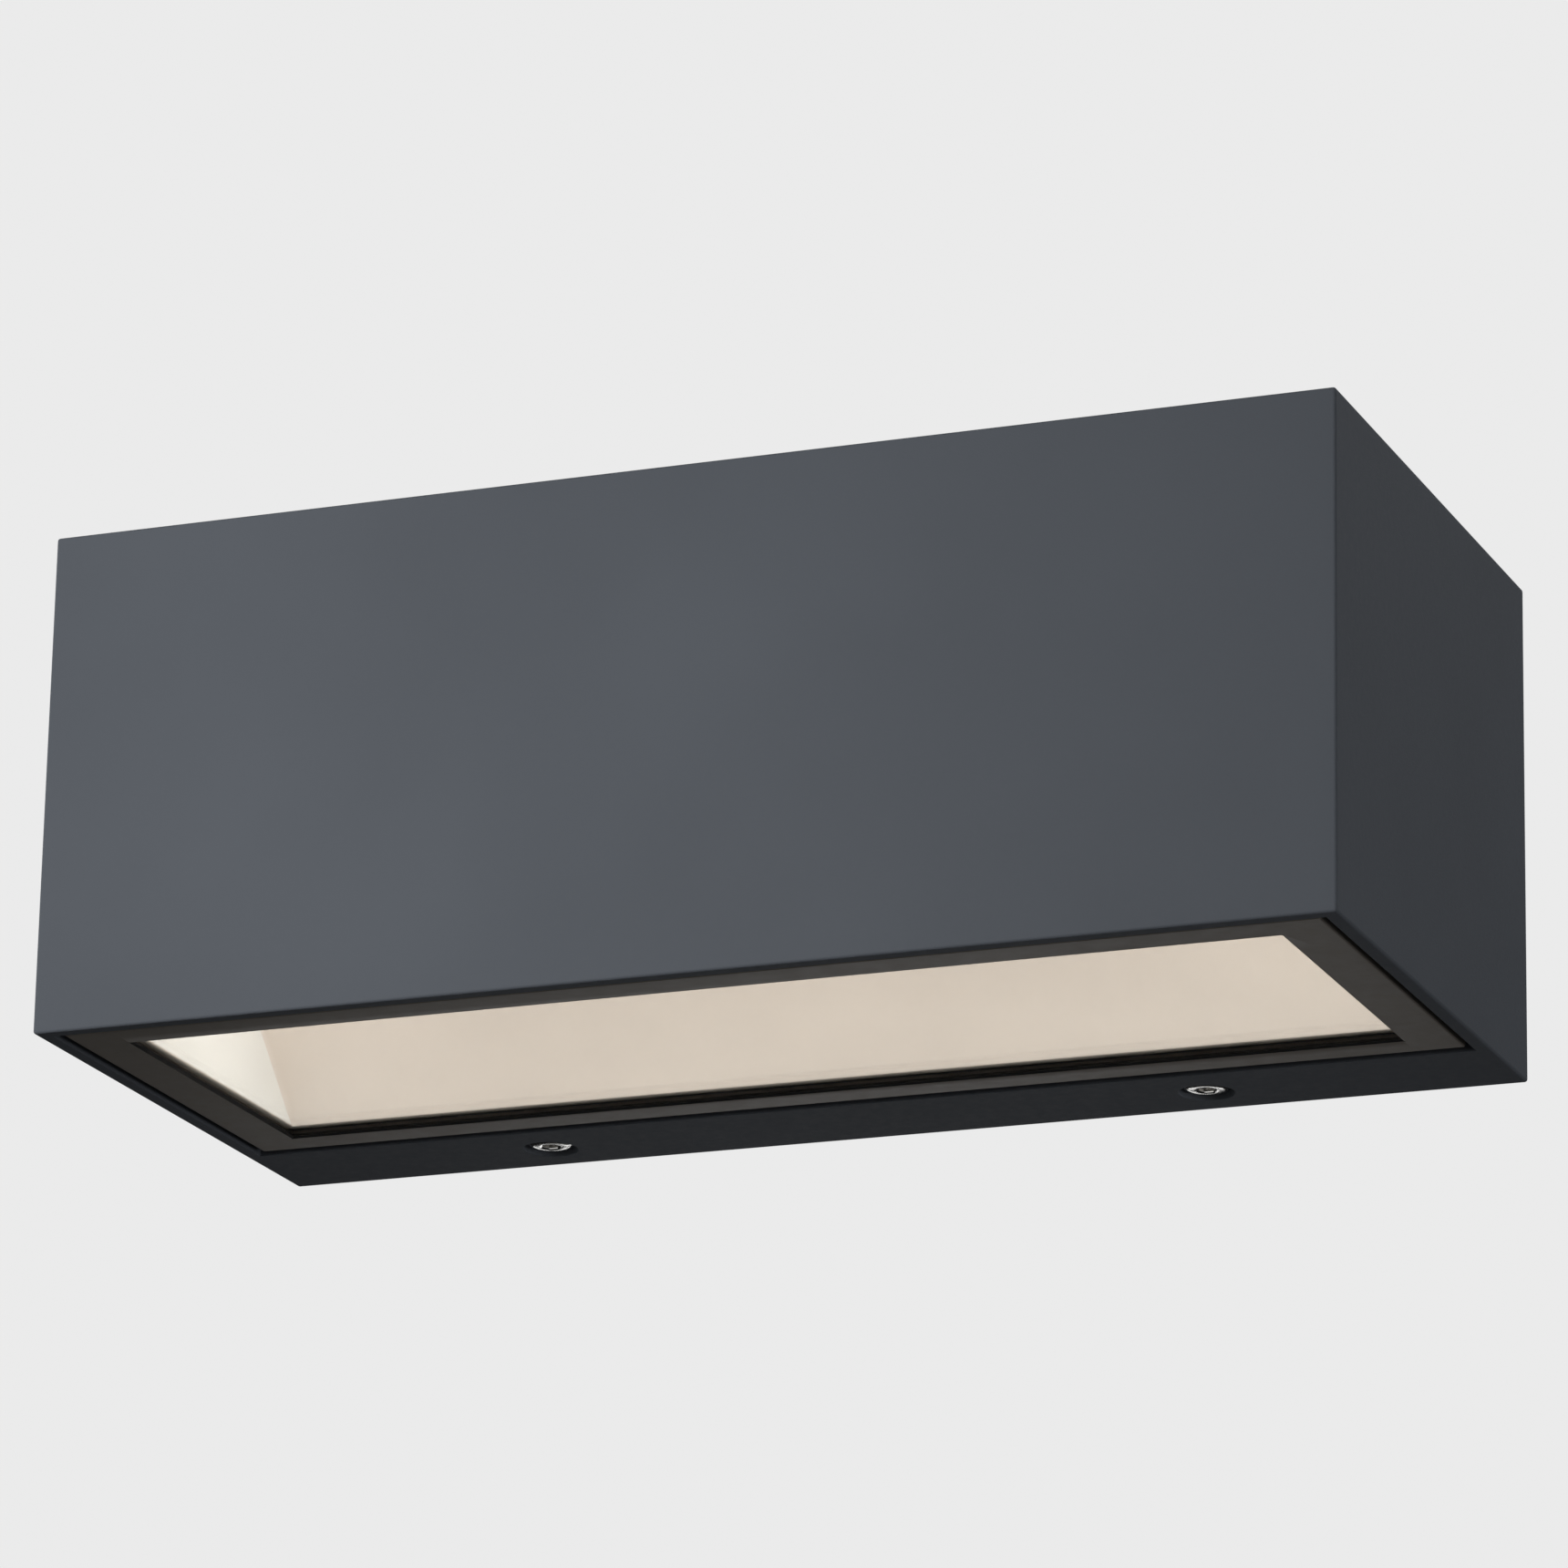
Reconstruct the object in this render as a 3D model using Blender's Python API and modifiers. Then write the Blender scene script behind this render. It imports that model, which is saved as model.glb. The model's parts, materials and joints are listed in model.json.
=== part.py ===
"""Outdoor box wall light.

A dark cast housing hangs over a folded wall bracket and is clamped to it by two screws in its bottom
rail. The housing's underside holds a framed pane, and a cream reflector above the pane throws the
light of a strip of LEDs down. Metres, +Z up. The origin is the centre of the width and of the height
on the wall's face, +X is to the right seen from the front, and -Y points out of the wall.
"""

import math

import bmesh
import bpy
from mathutils import Vector

# Overall size
WIDTH = 0.260
HEIGHT = 0.100
DEPTH = 0.120

# Fits and cuts
SEAT_GAP = 0.0003
OVERRUN = 0.001
ROOT = 0.001
MERGE = 0.00001

# Housing
WALL = 0.003
EDGE_RADIUS = 0.0006
REAR_GAP = 0.0005
RAIL_DEPTH = 0.0245
RAIL_THICKNESS = 0.004
PARTITION_THICKNESS = 0.003
PARTITION_ROOT = 0.002
OPENING_SIDE_MARGIN = 0.027
OPENING_TOP_MARGIN = 0.011
OPENING_BOTTOM_MARGIN = 0.016
RAIL_BOSS_RADIUS = 0.006
RAIL_BOSS_HEIGHT = 0.007
POST_RADIUS = 0.004
POST_WALL_GAP = 0.0015
LUG_THICKNESS = 0.0025
LUG_WIDTH = 0.009
LUG_LENGTH = 0.0074

# Bezel, pane and reflector
REVEAL = 0.0015
BEZEL_RECESS = 0.0004
BEZEL_THICKNESS = 0.003
BEZEL_LIP = 0.001
BEZEL_EDGE = 0.0004
BEZEL_FRONT_BAR = 0.008
BEZEL_REAR_BAR = 0.0075
BEZEL_SIDE_BAR = 0.0098
PANE_OVERLAP = 0.002
PANE_THICKNESS = 0.004
PANE_EDGE = 0.0004
GASKET_THICKNESS = 0.0012
GASKET_DROP = 0.0005
RIM_THICKNESS = 0.001
BEZEL_BOSS_RADIUS = 0.0024
BEZEL_SCREW_GRIP = 0.0035
REFLECTOR_THICKNESS = 0.0012
CHAMBER_ROOF_DEPTH = 0.0215
SLOT_WIDTH = 0.012

# LED board and its carrier
BOARD_END_MARGIN = 0.0157
BOARD_WIDTH = 0.014
BOARD_THICKNESS = 0.0016
LED_COUNT = 8
LED_END_INSET = 0.016
LED_SIDE = 0.005
LED_THICKNESS = 0.0009
BOARD_SCREW_INSET = 0.004
SPREADER_THICKNESS = 0.003
SPREADER_REAR_GAP = 0.006
SPREADER_SIDE_GAP = 0.0015
SPREADER_FRONT_GAP = 0.002
SPREADER_SCREW_LENGTH = 0.011
LEAD_SLOT_LENGTH = 0.010
LEAD_SLOT_WIDTH = 0.0075
LEAD_SLOT_OFFSET = 0.004

# Driver
DRIVER_HEIGHT = 0.024
DRIVER_LEFT_SPACE = 0.0505
DRIVER_RIGHT_SPACE = 0.0905
DRIVER_FRONT_SPACE = 0.019
DRIVER_REAR_SPACE = 0.022
DRIVER_HEADROOM = 0.0104
DRIVER_EDGE = 0.002
DRIVER_EAR_LENGTH = 0.009
DRIVER_EAR_WIDTH = 0.012
DRIVER_EAR_THICKNESS = 0.0025
DRIVER_EAR_INSET = 0.010

# Rear cover
COVER_THICKNESS = 0.002
COVER_OVERLAP = 0.008
COVER_GASKET_THICKNESS = 0.0015
COVER_SCREW_INSET = 0.004
COVER_EDGE = 0.0004

# Terminal block
POLE_COUNT = 3
POLE_PITCH = 0.008
BLOCK_LENGTH = 0.020
BLOCK_DEPTH = 0.013
BLOCK_EDGE = 0.0008
BLOCK_TAB_THICKNESS = 0.0016
BLOCK_TAB_LENGTH = 0.007
BLOCK_LEFT_X = 0.030
BLOCK_DROP = 0.016
WIRE_HOLE_RADIUS = 0.0016
WIRE_HOLE_DEPTH = 0.0065
CLAMP_HOLE_RADIUS = 0.0018
CLAMP_HOLE_DEPTH = 0.004

# Lead grommet in the rear cover
LEAD_GROMMET_INSET = 0.012
LEAD_GROMMET_NECK_RADIUS = 0.008
LEAD_GROMMET_FLANGE_RADIUS = 0.0105
LEAD_GROMMET_FLANGE_THICKNESS = 0.0013

# Leads
MAINS_LEAD_RADIUS = 0.0011
LED_LEAD_RADIUS = 0.00075
LED_LEAD_PITCH = 0.003
LEAD_STEP = 0.0065
LEAD_ENTRY = 0.005
LEAD_STRAIGHT = 0.005

# Earth tag on the rear cover
TAG_X = -0.018
TAG_DROP = 0.020
TAG_RADIUS = 0.0036
TAG_THICKNESS = 0.0008
TAG_TONGUE_LENGTH = 0.0075
TAG_BARREL_RADIUS = 0.0014
TAG_BARREL_LENGTH = 0.004

# Wall bracket
BRACKET_SIDE_SPACE = 0.032
BRACKET_THICKNESS = 0.002
BRACKET_FLANGE_DEPTH = 0.0155
BRACKET_BEND_RADIUS = 0.0025
CABLE_HOLE_RADIUS = 0.0105
CABLE_HOLE_RISE = 0.015
WALL_SLOT_WIDTH = 0.0052
WALL_SLOT_LENGTH = 0.014
WALL_SLOT_PLACE_SHARES = ((0.80, 0.55, True), (0.80, -0.45, False), (0.62, 0.0, False))
BUSH_BORE_RADIUS = 0.008
BUSH_FLANGE_RADIUS = 0.0125
BUSH_FLANGE_THICKNESS = 0.0015
EARTH_SCREW_X = -0.045
EARTH_SCREW_RISE = 0.0126
EARTH_WASHER_RADIUS = 0.0045
EARTH_WASHER_THICKNESS = 0.0008

# Fixing screws through the rail, M5
FIXING_INSET = 0.026
FIXING_WALL_DISTANCE = 0.0123
FIXING_SHANK_RADIUS = 0.0025
FIXING_SHANK_LENGTH = 0.016
FIXING_HEAD_RADIUS = 0.00475
FIXING_HEAD_HEIGHT = 0.00275
FIXING_HEAD_CROWN = 0.0010
FIXING_SOCKET_RADIUS = 0.00173
FIXING_SOCKET_DEPTH = 0.0016
FIXING_HEAD_RECESS = 0.00045
FIXING_WASHER_THICKNESS = 0.0008
FIXING_WASHER_MARGIN = 0.00035
COUNTERBORE_MARGIN = 0.00075

# Small screws: M3 pan heads and the M4 earth screws
SMALL_SHANK_RADIUS = 0.0013
SMALL_HEAD_RADIUS = 0.0025
SMALL_HEAD_HEIGHT = 0.0016
EARTH_SHANK_RADIUS = 0.0018
EARTH_HEAD_RADIUS = 0.0035
EARTH_HEAD_HEIGHT = 0.0024
SOCKET_SHARE = 0.5
CROWN_SHARE = 0.35

# Facets
EDGE_SEGMENTS = 3
SMALL_SIDES = 12
FIXING_SIDES = 32
HOLE_SIDES = 24
CABLE_SIDES = 32
SLOT_SIDES = 14
HEX_SIDES = 6
LEAD_RESOLUTION = 2

# Colour, roughness and metallic value of each finish
FINISHES = {
    "powder_coat": ((0.080, 0.092, 0.107), 0.55, 0.0),
    "bezel_coat": ((0.058, 0.050, 0.044), 0.35, 0.0),
    "clear_glass": ((0.90, 0.93, 0.92), 0.03, 0.0),
    "black_silicone": ((0.010, 0.010, 0.010), 0.70, 0.0),
    "cream_coat": ((0.72, 0.65, 0.55), 0.50, 0.0),
    "board_mask": ((0.82, 0.82, 0.79), 0.40, 0.0),
    "led_phosphor": ((0.86, 0.66, 0.12), 0.45, 0.0),
    "bare_aluminium": ((0.62, 0.63, 0.64), 0.40, 1.0),
    "driver_case": ((0.78, 0.78, 0.76), 0.45, 0.0),
    "terminal_plastic": ((0.70, 0.70, 0.67), 0.40, 0.0),
    "galvanised_steel": ((0.55, 0.56, 0.57), 0.38, 1.0),
    "stainless_steel": ((0.66, 0.65, 0.63), 0.25, 1.0),
    "zinc_steel": ((0.60, 0.60, 0.60), 0.35, 1.0),
    "brass": ((0.72, 0.55, 0.28), 0.30, 1.0),
    "grey_rubber": ((0.045, 0.045, 0.045), 0.75, 0.0),
    "brown_sleeve": ((0.16, 0.07, 0.03), 0.45, 0.0),
    "blue_sleeve": ((0.03, 0.12, 0.45), 0.45, 0.0),
    "green_yellow_sleeve": ((0.25, 0.50, 0.06), 0.45, 0.0),
    "red_sleeve": ((0.50, 0.03, 0.02), 0.45, 0.0),
    "black_sleeve": ((0.02, 0.02, 0.02), 0.45, 0.0),
}

# Places worked out from the sizes above
RIGHT = WIDTH / 2
TOP = HEIGHT / 2
BOTTOM = -HEIGHT / 2
FRONT = -DEPTH
INNER_RIGHT = RIGHT - WALL
INNER_TOP = TOP - WALL
INNER_FRONT = FRONT + WALL
REAR_RIM = -REAR_GAP
RAIL_FRONT = REAR_RIM - RAIL_DEPTH
RAIL_TOP = BOTTOM + RAIL_THICKNESS
PARTITION_REAR = RAIL_FRONT + PARTITION_ROOT
PARTITION_FRONT = PARTITION_REAR - PARTITION_THICKNESS
OPENING_RIGHT = INNER_RIGHT - OPENING_SIDE_MARGIN
OPENING_TOP = INNER_TOP - OPENING_TOP_MARGIN
OPENING_BOTTOM = RAIL_TOP + OPENING_BOTTOM_MARGIN

BEZEL_RIGHT = INNER_RIGHT - REVEAL
BEZEL_FRONT = INNER_FRONT + REVEAL
BEZEL_REAR = RAIL_FRONT - REVEAL
BEZEL_BOTTOM = BOTTOM + BEZEL_RECESS
BEZEL_TOP = BEZEL_BOTTOM + BEZEL_THICKNESS
WINDOW_RIGHT = BEZEL_RIGHT - BEZEL_SIDE_BAR
WINDOW_FRONT = BEZEL_FRONT + BEZEL_FRONT_BAR
WINDOW_REAR = BEZEL_REAR - BEZEL_REAR_BAR
WINDOW_DEPTH = WINDOW_REAR - WINDOW_FRONT
SEAT_FLOOR = BEZEL_BOTTOM + BEZEL_LIP
PANE_BOTTOM = SEAT_FLOOR + SEAT_GAP
PANE_TOP = PANE_BOTTOM + PANE_THICKNESS
GASKET_TOP = PANE_TOP - GASKET_DROP
PANE_RIGHT = WINDOW_RIGHT + PANE_OVERLAP
PANE_FRONT = WINDOW_FRONT - PANE_OVERLAP
PANE_REAR = WINDOW_REAR + PANE_OVERLAP
GASKET_REACH = SEAT_GAP + GASKET_THICKNESS
SEAT_REACH = GASKET_REACH + SEAT_GAP
SEAT_RIGHT = PANE_RIGHT + SEAT_REACH
SEAT_FRONT = PANE_FRONT - SEAT_REACH
SEAT_REAR = PANE_REAR + SEAT_REACH
CHAMBER_BOTTOM = PANE_TOP + SEAT_GAP
DRIVER_BOTTOM = INNER_TOP - DRIVER_HEADROOM - DRIVER_HEIGHT
DRIVER_MIDDLE = DRIVER_BOTTOM + DRIVER_HEIGHT / 2
SPREADER_TOP = DRIVER_BOTTOM - SEAT_GAP
SPREADER_BOTTOM = SPREADER_TOP - SPREADER_THICKNESS
BOARD_TOP = SPREADER_BOTTOM - SEAT_GAP
BOARD_BOTTOM = BOARD_TOP - BOARD_THICKNESS
CHAMBER_TOP = BOARD_BOTTOM - SEAT_GAP - REFLECTOR_THICKNESS
CHAMBER_HEIGHT = CHAMBER_TOP - CHAMBER_BOTTOM
CHAMBER_ROOF_REAR = WINDOW_FRONT + CHAMBER_ROOF_DEPTH
BOARD_Y = (WINDOW_FRONT + CHAMBER_ROOF_REAR) / 2
BOARD_RIGHT = WINDOW_RIGHT - BOARD_END_MARGIN
LED_PITCH = 2 * (BOARD_RIGHT - LED_END_INSET) / (LED_COUNT - 1)
SPREADER_RIGHT = INNER_RIGHT - SPREADER_SIDE_GAP
SPREADER_FRONT = INNER_FRONT + SPREADER_FRONT_GAP
SPREADER_REAR = PARTITION_FRONT - SPREADER_REAR_GAP
POST_X = INNER_RIGHT - POST_WALL_GAP - POST_RADIUS
POST_FRONT_Y = SPREADER_FRONT + POST_RADIUS
POST_REAR_Y = SPREADER_REAR - POST_RADIUS
BEZEL_BOSS_X = BEZEL_RIGHT - BEZEL_BOSS_RADIUS
BEZEL_BOSS_TOP = PANE_TOP + REFLECTOR_THICKNESS + SEAT_GAP
LUG_BOTTOM = BEZEL_BOSS_TOP + SEAT_GAP
LUG_TOP = LUG_BOTTOM + LUG_THICKNESS
LUG_FRONT_Y = WINDOW_FRONT + LUG_WIDTH / 2
LUG_REAR_Y = WINDOW_REAR - LUG_WIDTH / 2
DRIVER_LEFT_X = DRIVER_LEFT_SPACE - SPREADER_RIGHT
DRIVER_RIGHT_X = SPREADER_RIGHT - DRIVER_RIGHT_SPACE
DRIVER_FRONT_Y = SPREADER_FRONT + DRIVER_FRONT_SPACE
DRIVER_REAR_Y = SPREADER_REAR - DRIVER_REAR_SPACE
DRIVER_CENTRE_Y = (DRIVER_FRONT_Y + DRIVER_REAR_Y) / 2

COVER_GASKET_FRONT = PARTITION_REAR + SEAT_GAP
COVER_GASKET_REAR = COVER_GASKET_FRONT + COVER_GASKET_THICKNESS
COVER_FRONT = COVER_GASKET_REAR + SEAT_GAP
COVER_REAR = COVER_FRONT + COVER_THICKNESS
COVER_RIGHT = OPENING_RIGHT + COVER_OVERLAP
COVER_TOP = OPENING_TOP + COVER_OVERLAP
COVER_BOTTOM = OPENING_BOTTOM - COVER_OVERLAP
BLOCK_FRONT = COVER_REAR + SEAT_GAP
BLOCK_REAR = BLOCK_FRONT + BLOCK_DEPTH
BLOCK_MIDDLE_Y = (BLOCK_FRONT + BLOCK_REAR) / 2
BLOCK_RIGHT_X = BLOCK_LEFT_X + BLOCK_LENGTH
BLOCK_SCREW_X = (BLOCK_LEFT_X + BLOCK_RIGHT_X) / 2
BLOCK_CENTRE_Z = OPENING_TOP - BLOCK_DROP
BLOCK_BOTTOM = BLOCK_CENTRE_Z - POLE_COUNT * POLE_PITCH / 2
BLOCK_TOP = BLOCK_CENTRE_Z + POLE_COUNT * POLE_PITCH / 2
BLOCK_SCREW_Z = BLOCK_BOTTOM - BLOCK_TAB_LENGTH / 2
LIVE_Z = BLOCK_CENTRE_Z + POLE_PITCH
NEUTRAL_Z = BLOCK_CENTRE_Z
EARTH_Z = BLOCK_CENTRE_Z - POLE_PITCH
LEAD_GROMMET_X = LEAD_GROMMET_INSET - OPENING_RIGHT
LEAD_GROMMET_Z = (LIVE_Z + NEUTRAL_Z) / 2
TAG_Z = EARTH_Z - TAG_DROP
TAG_BARREL_Y = COVER_REAR + 2 * SEAT_GAP + TAG_BARREL_RADIUS

COUNTERBORE_RADIUS = FIXING_HEAD_RADIUS + COUNTERBORE_MARGIN
FIXING_HEAD_SEAT = BOTTOM + FIXING_HEAD_RECESS + FIXING_HEAD_HEIGHT
FIXING_WASHER_TOP = FIXING_HEAD_SEAT + SEAT_GAP + FIXING_WASHER_THICKNESS
COUNTERBORE_TOP = FIXING_WASHER_TOP + SEAT_GAP
FIXING_TIP = FIXING_HEAD_SEAT + FIXING_SHANK_LENGTH
FIXING_Y = -FIXING_WALL_DISTANCE
BRACKET_BOTTOM = FIXING_TIP + SEAT_GAP
BRACKET_TOP = INNER_TOP - SEAT_GAP
BRACKET_MIDDLE = (BRACKET_TOP + BRACKET_BOTTOM) / 2
BRACKET_RIGHT = INNER_RIGHT - BRACKET_SIDE_SPACE
FIXING_X = BRACKET_RIGHT - FIXING_INSET
EARTH_SCREW_Z = BRACKET_BOTTOM + EARTH_SCREW_RISE
CABLE_HOLE_Z = BRACKET_BOTTOM + CABLE_HOLE_RISE

UP = Vector((0, 0, 1))
DOWN = Vector((0, 0, -1))
BACK = Vector((0, 1, 0))


def clear_scene():
    for thing in list(bpy.data.objects):
        bpy.data.objects.remove(thing, do_unlink=True)


def new_collection(name):
    group = bpy.data.collections.new(name)
    bpy.context.scene.collection.children.link(group)
    return group


def new_finish(name):
    """A Principled material with the finish's colour, roughness and metallic value."""
    colour, roughness, metallic = FINISHES[name]
    material = bpy.data.materials.new(name)
    material.use_nodes = True
    shader = material.node_tree.nodes["Principled BSDF"]
    shader.inputs["Base Color"].default_value = (*colour, 1)
    shader.inputs["Roughness"].default_value = roughness
    shader.inputs["Metallic"].default_value = metallic
    material.diffuse_color = (*colour, 1)
    return material


def place(name, data, centre, turn=None):
    """A new object of the wall light, at its centre and turned from +Z to the given direction."""
    thing = bpy.data.objects.new(name, data)
    PIECES.objects.link(thing)
    thing.location = centre
    if turn is not None:
        thing.rotation_mode = "QUATERNION"
        thing.rotation_quaternion = UP.rotation_difference(Vector(turn))
    return thing


def box(name, low, high):
    """A box between two corners."""
    low = Vector(low)
    high = Vector(high)
    shape = bmesh.new()
    bmesh.ops.create_cube(shape, size=1)
    bmesh.ops.scale(shape, vec=high - low, verts=shape.verts)
    mesh = bpy.data.meshes.new(name)
    shape.to_mesh(mesh)
    shape.free()
    return place(name, mesh, (low + high) / 2)


def rod(name, radius, start, end, sides):
    """A closed cylinder between two points, with facets all round."""
    start = Vector(start)
    end = Vector(end)
    shape = bmesh.new()
    bmesh.ops.create_cone(
        shape,
        cap_ends=True,
        segments=sides,
        radius1=radius,
        radius2=radius,
        depth=(end - start).length,
    )
    mesh = bpy.data.meshes.new(name)
    shape.to_mesh(mesh)
    shape.free()
    mesh.shade_smooth()
    mesh.set_sharp_from_angle(angle=math.radians(40))
    return place(name, mesh, (start + end) / 2, end - start)


def turned(name, profile, centre, direction, sides, closed=False):
    """A solid turned about its own +Z from radius and height pairs that run down its outer side."""
    corners = [(radius, 0, height) for radius, height in profile]
    edges = [(i, i + 1) for i in range(len(corners) - 1)]
    if closed:
        edges.append((len(corners) - 1, 0))
    mesh = bpy.data.meshes.new(name)
    mesh.from_pydata(corners, edges, [])
    thing = place(name, mesh, centre, direction)
    turn = thing.modifiers.new("turn", "SCREW")
    turn.axis = "Z"
    turn.angle = math.tau
    turn.steps = sides
    turn.render_steps = sides
    turn.use_merge_vertices = True
    turn.merge_threshold = MERGE
    turn.use_smooth_shade = True
    return thing


def rounded(thing, radius, segments=EDGE_SEGMENTS):
    edge = thing.modifiers.new("edge", "BEVEL")
    edge.width = radius
    edge.segments = segments
    edge.limit_method = "ANGLE"
    return thing


def combine(thing, tool, operation):
    """A Boolean with a tool, which moves to the hidden collection of cutters."""
    if tool.name in PIECES.objects:
        PIECES.objects.unlink(tool)
        CUTTERS.objects.link(tool)
    tool.hide_render = True
    tool.display_type = "WIRE"
    step = thing.modifiers.new(tool.name, "BOOLEAN")
    step.operation = operation
    step.object = tool
    step.solver = "EXACT"


def cut(thing, *tools):
    for tool in tools:
        combine(thing, tool, "DIFFERENCE")


def join(thing, *tools):
    for tool in tools:
        combine(thing, tool, "UNION")


def finish(thing, name):
    """Gives a piece its material."""
    if name not in MADE_FINISHES:
        MADE_FINISHES[name] = new_finish(name)
    thing.data.materials.append(MADE_FINISHES[name])
    return thing


def mirrored_places(x, *ys):
    """The places at each y, on the left and on the right."""
    return [(side * x, y) for y in ys for side in (-1, 1)]


def screw(name, seat, direction, length, shank_radius, head_radius, head_height):
    """A pan head screw with a hexagon socket. The direction points out of its head."""
    crown = head_height * CROWN_SHARE
    profile = (
        (0, head_height),
        (head_radius - crown, head_height),
        (head_radius, head_height - crown),
        (head_radius, 0),
        (shank_radius, 0),
        (shank_radius, -length),
        (0, -length),
    )
    piece = turned(name, profile, seat, direction, SMALL_SIDES)
    top = Vector(seat) + direction * (head_height + OVERRUN)
    floor = Vector(seat) + direction * head_height * SOCKET_SHARE
    cut(piece, rod(name + "_socket", head_radius * SOCKET_SHARE, floor, top, HEX_SIDES))
    return piece


def small_screw(name, seat, direction, length):
    piece = screw(
        name, seat, direction, length, SMALL_SHANK_RADIUS, SMALL_HEAD_RADIUS, SMALL_HEAD_HEIGHT
    )
    return finish(piece, "zinc_steel")


def earth_screw(name, seat, direction, length):
    piece = screw(
        name, seat, direction, length, EARTH_SHANK_RADIUS, EARTH_HEAD_RADIUS, EARTH_HEAD_HEIGHT
    )
    return finish(piece, "brass")


def small_hole(name, start, end):
    """A cutter for a small screw's shank, with its clearance."""
    return rod(name, SMALL_SHANK_RADIUS + SEAT_GAP, start, end, SMALL_SIDES)


def route_points(route):
    """Points on a smooth curve through a route, a few lead widths apart. Its heading at each of the
    route's own points is halfway between the two stretches that meet there."""
    spots = [Vector(spot) for spot in route]
    ways = [(b - a).normalized() for a, b in zip(spots, spots[1:])]
    headings = [ways[0], *((a + b).normalized() for a, b in zip(ways, ways[1:])), ways[-1]]
    points = [spots[0]]
    for a, b, leaving, arriving in zip(spots, spots[1:], headings, headings[1:]):
        span = (b - a).length
        steps = max(1, round(span / LEAD_STEP))
        for i in range(1, steps + 1):
            t = i / steps
            points.append(
                a * (2 * t**3 - 3 * t**2 + 1)
                + leaving * span * (t**3 - 2 * t**2 + t)
                + b * (3 * t**2 - 2 * t**3)
                + arriving * span * (t**3 - t**2)
            )
    return points


def lead(name, radius, route, sleeve):
    """An insulated lead: a round tube along a smooth route, closed at both ends."""
    points = route_points(route)
    wire = bpy.data.curves.new(name, "CURVE")
    wire.dimensions = "3D"
    wire.bevel_depth = radius
    wire.bevel_resolution = LEAD_RESOLUTION
    wire.use_fill_caps = True
    line = wire.splines.new("POLY")
    line.points.add(len(points) - 1)
    for point, spot in zip(line.points, points):
        point.co = (*spot, 1)
    return finish(place(name, wire, (0, 0, 0)), sleeve)


def slot_cutter(name, x, z, lengthways):
    """A round-ended slot through the bracket's plate, along X when lengthways and else along Z."""
    shape = bmesh.new()
    radius = WALL_SLOT_WIDTH / 2
    bmesh.ops.create_cone(
        shape,
        cap_ends=True,
        segments=SLOT_SIDES,
        radius1=radius,
        radius2=radius,
        depth=BRACKET_THICKNESS + 2 * OVERRUN,
    )
    for corner in shape.verts:
        corner.co.x += math.copysign(WALL_SLOT_LENGTH / 2 - radius, corner.co.x)
    mesh = bpy.data.meshes.new(name)
    shape.to_mesh(mesh)
    shape.free()
    thing = place(name, mesh, (x, -BRACKET_THICKNESS / 2, z))
    quarter_turn = math.pi / 2
    thing.rotation_euler = (quarter_turn, 0 if lengthways else quarter_turn, 0)
    return thing


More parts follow.
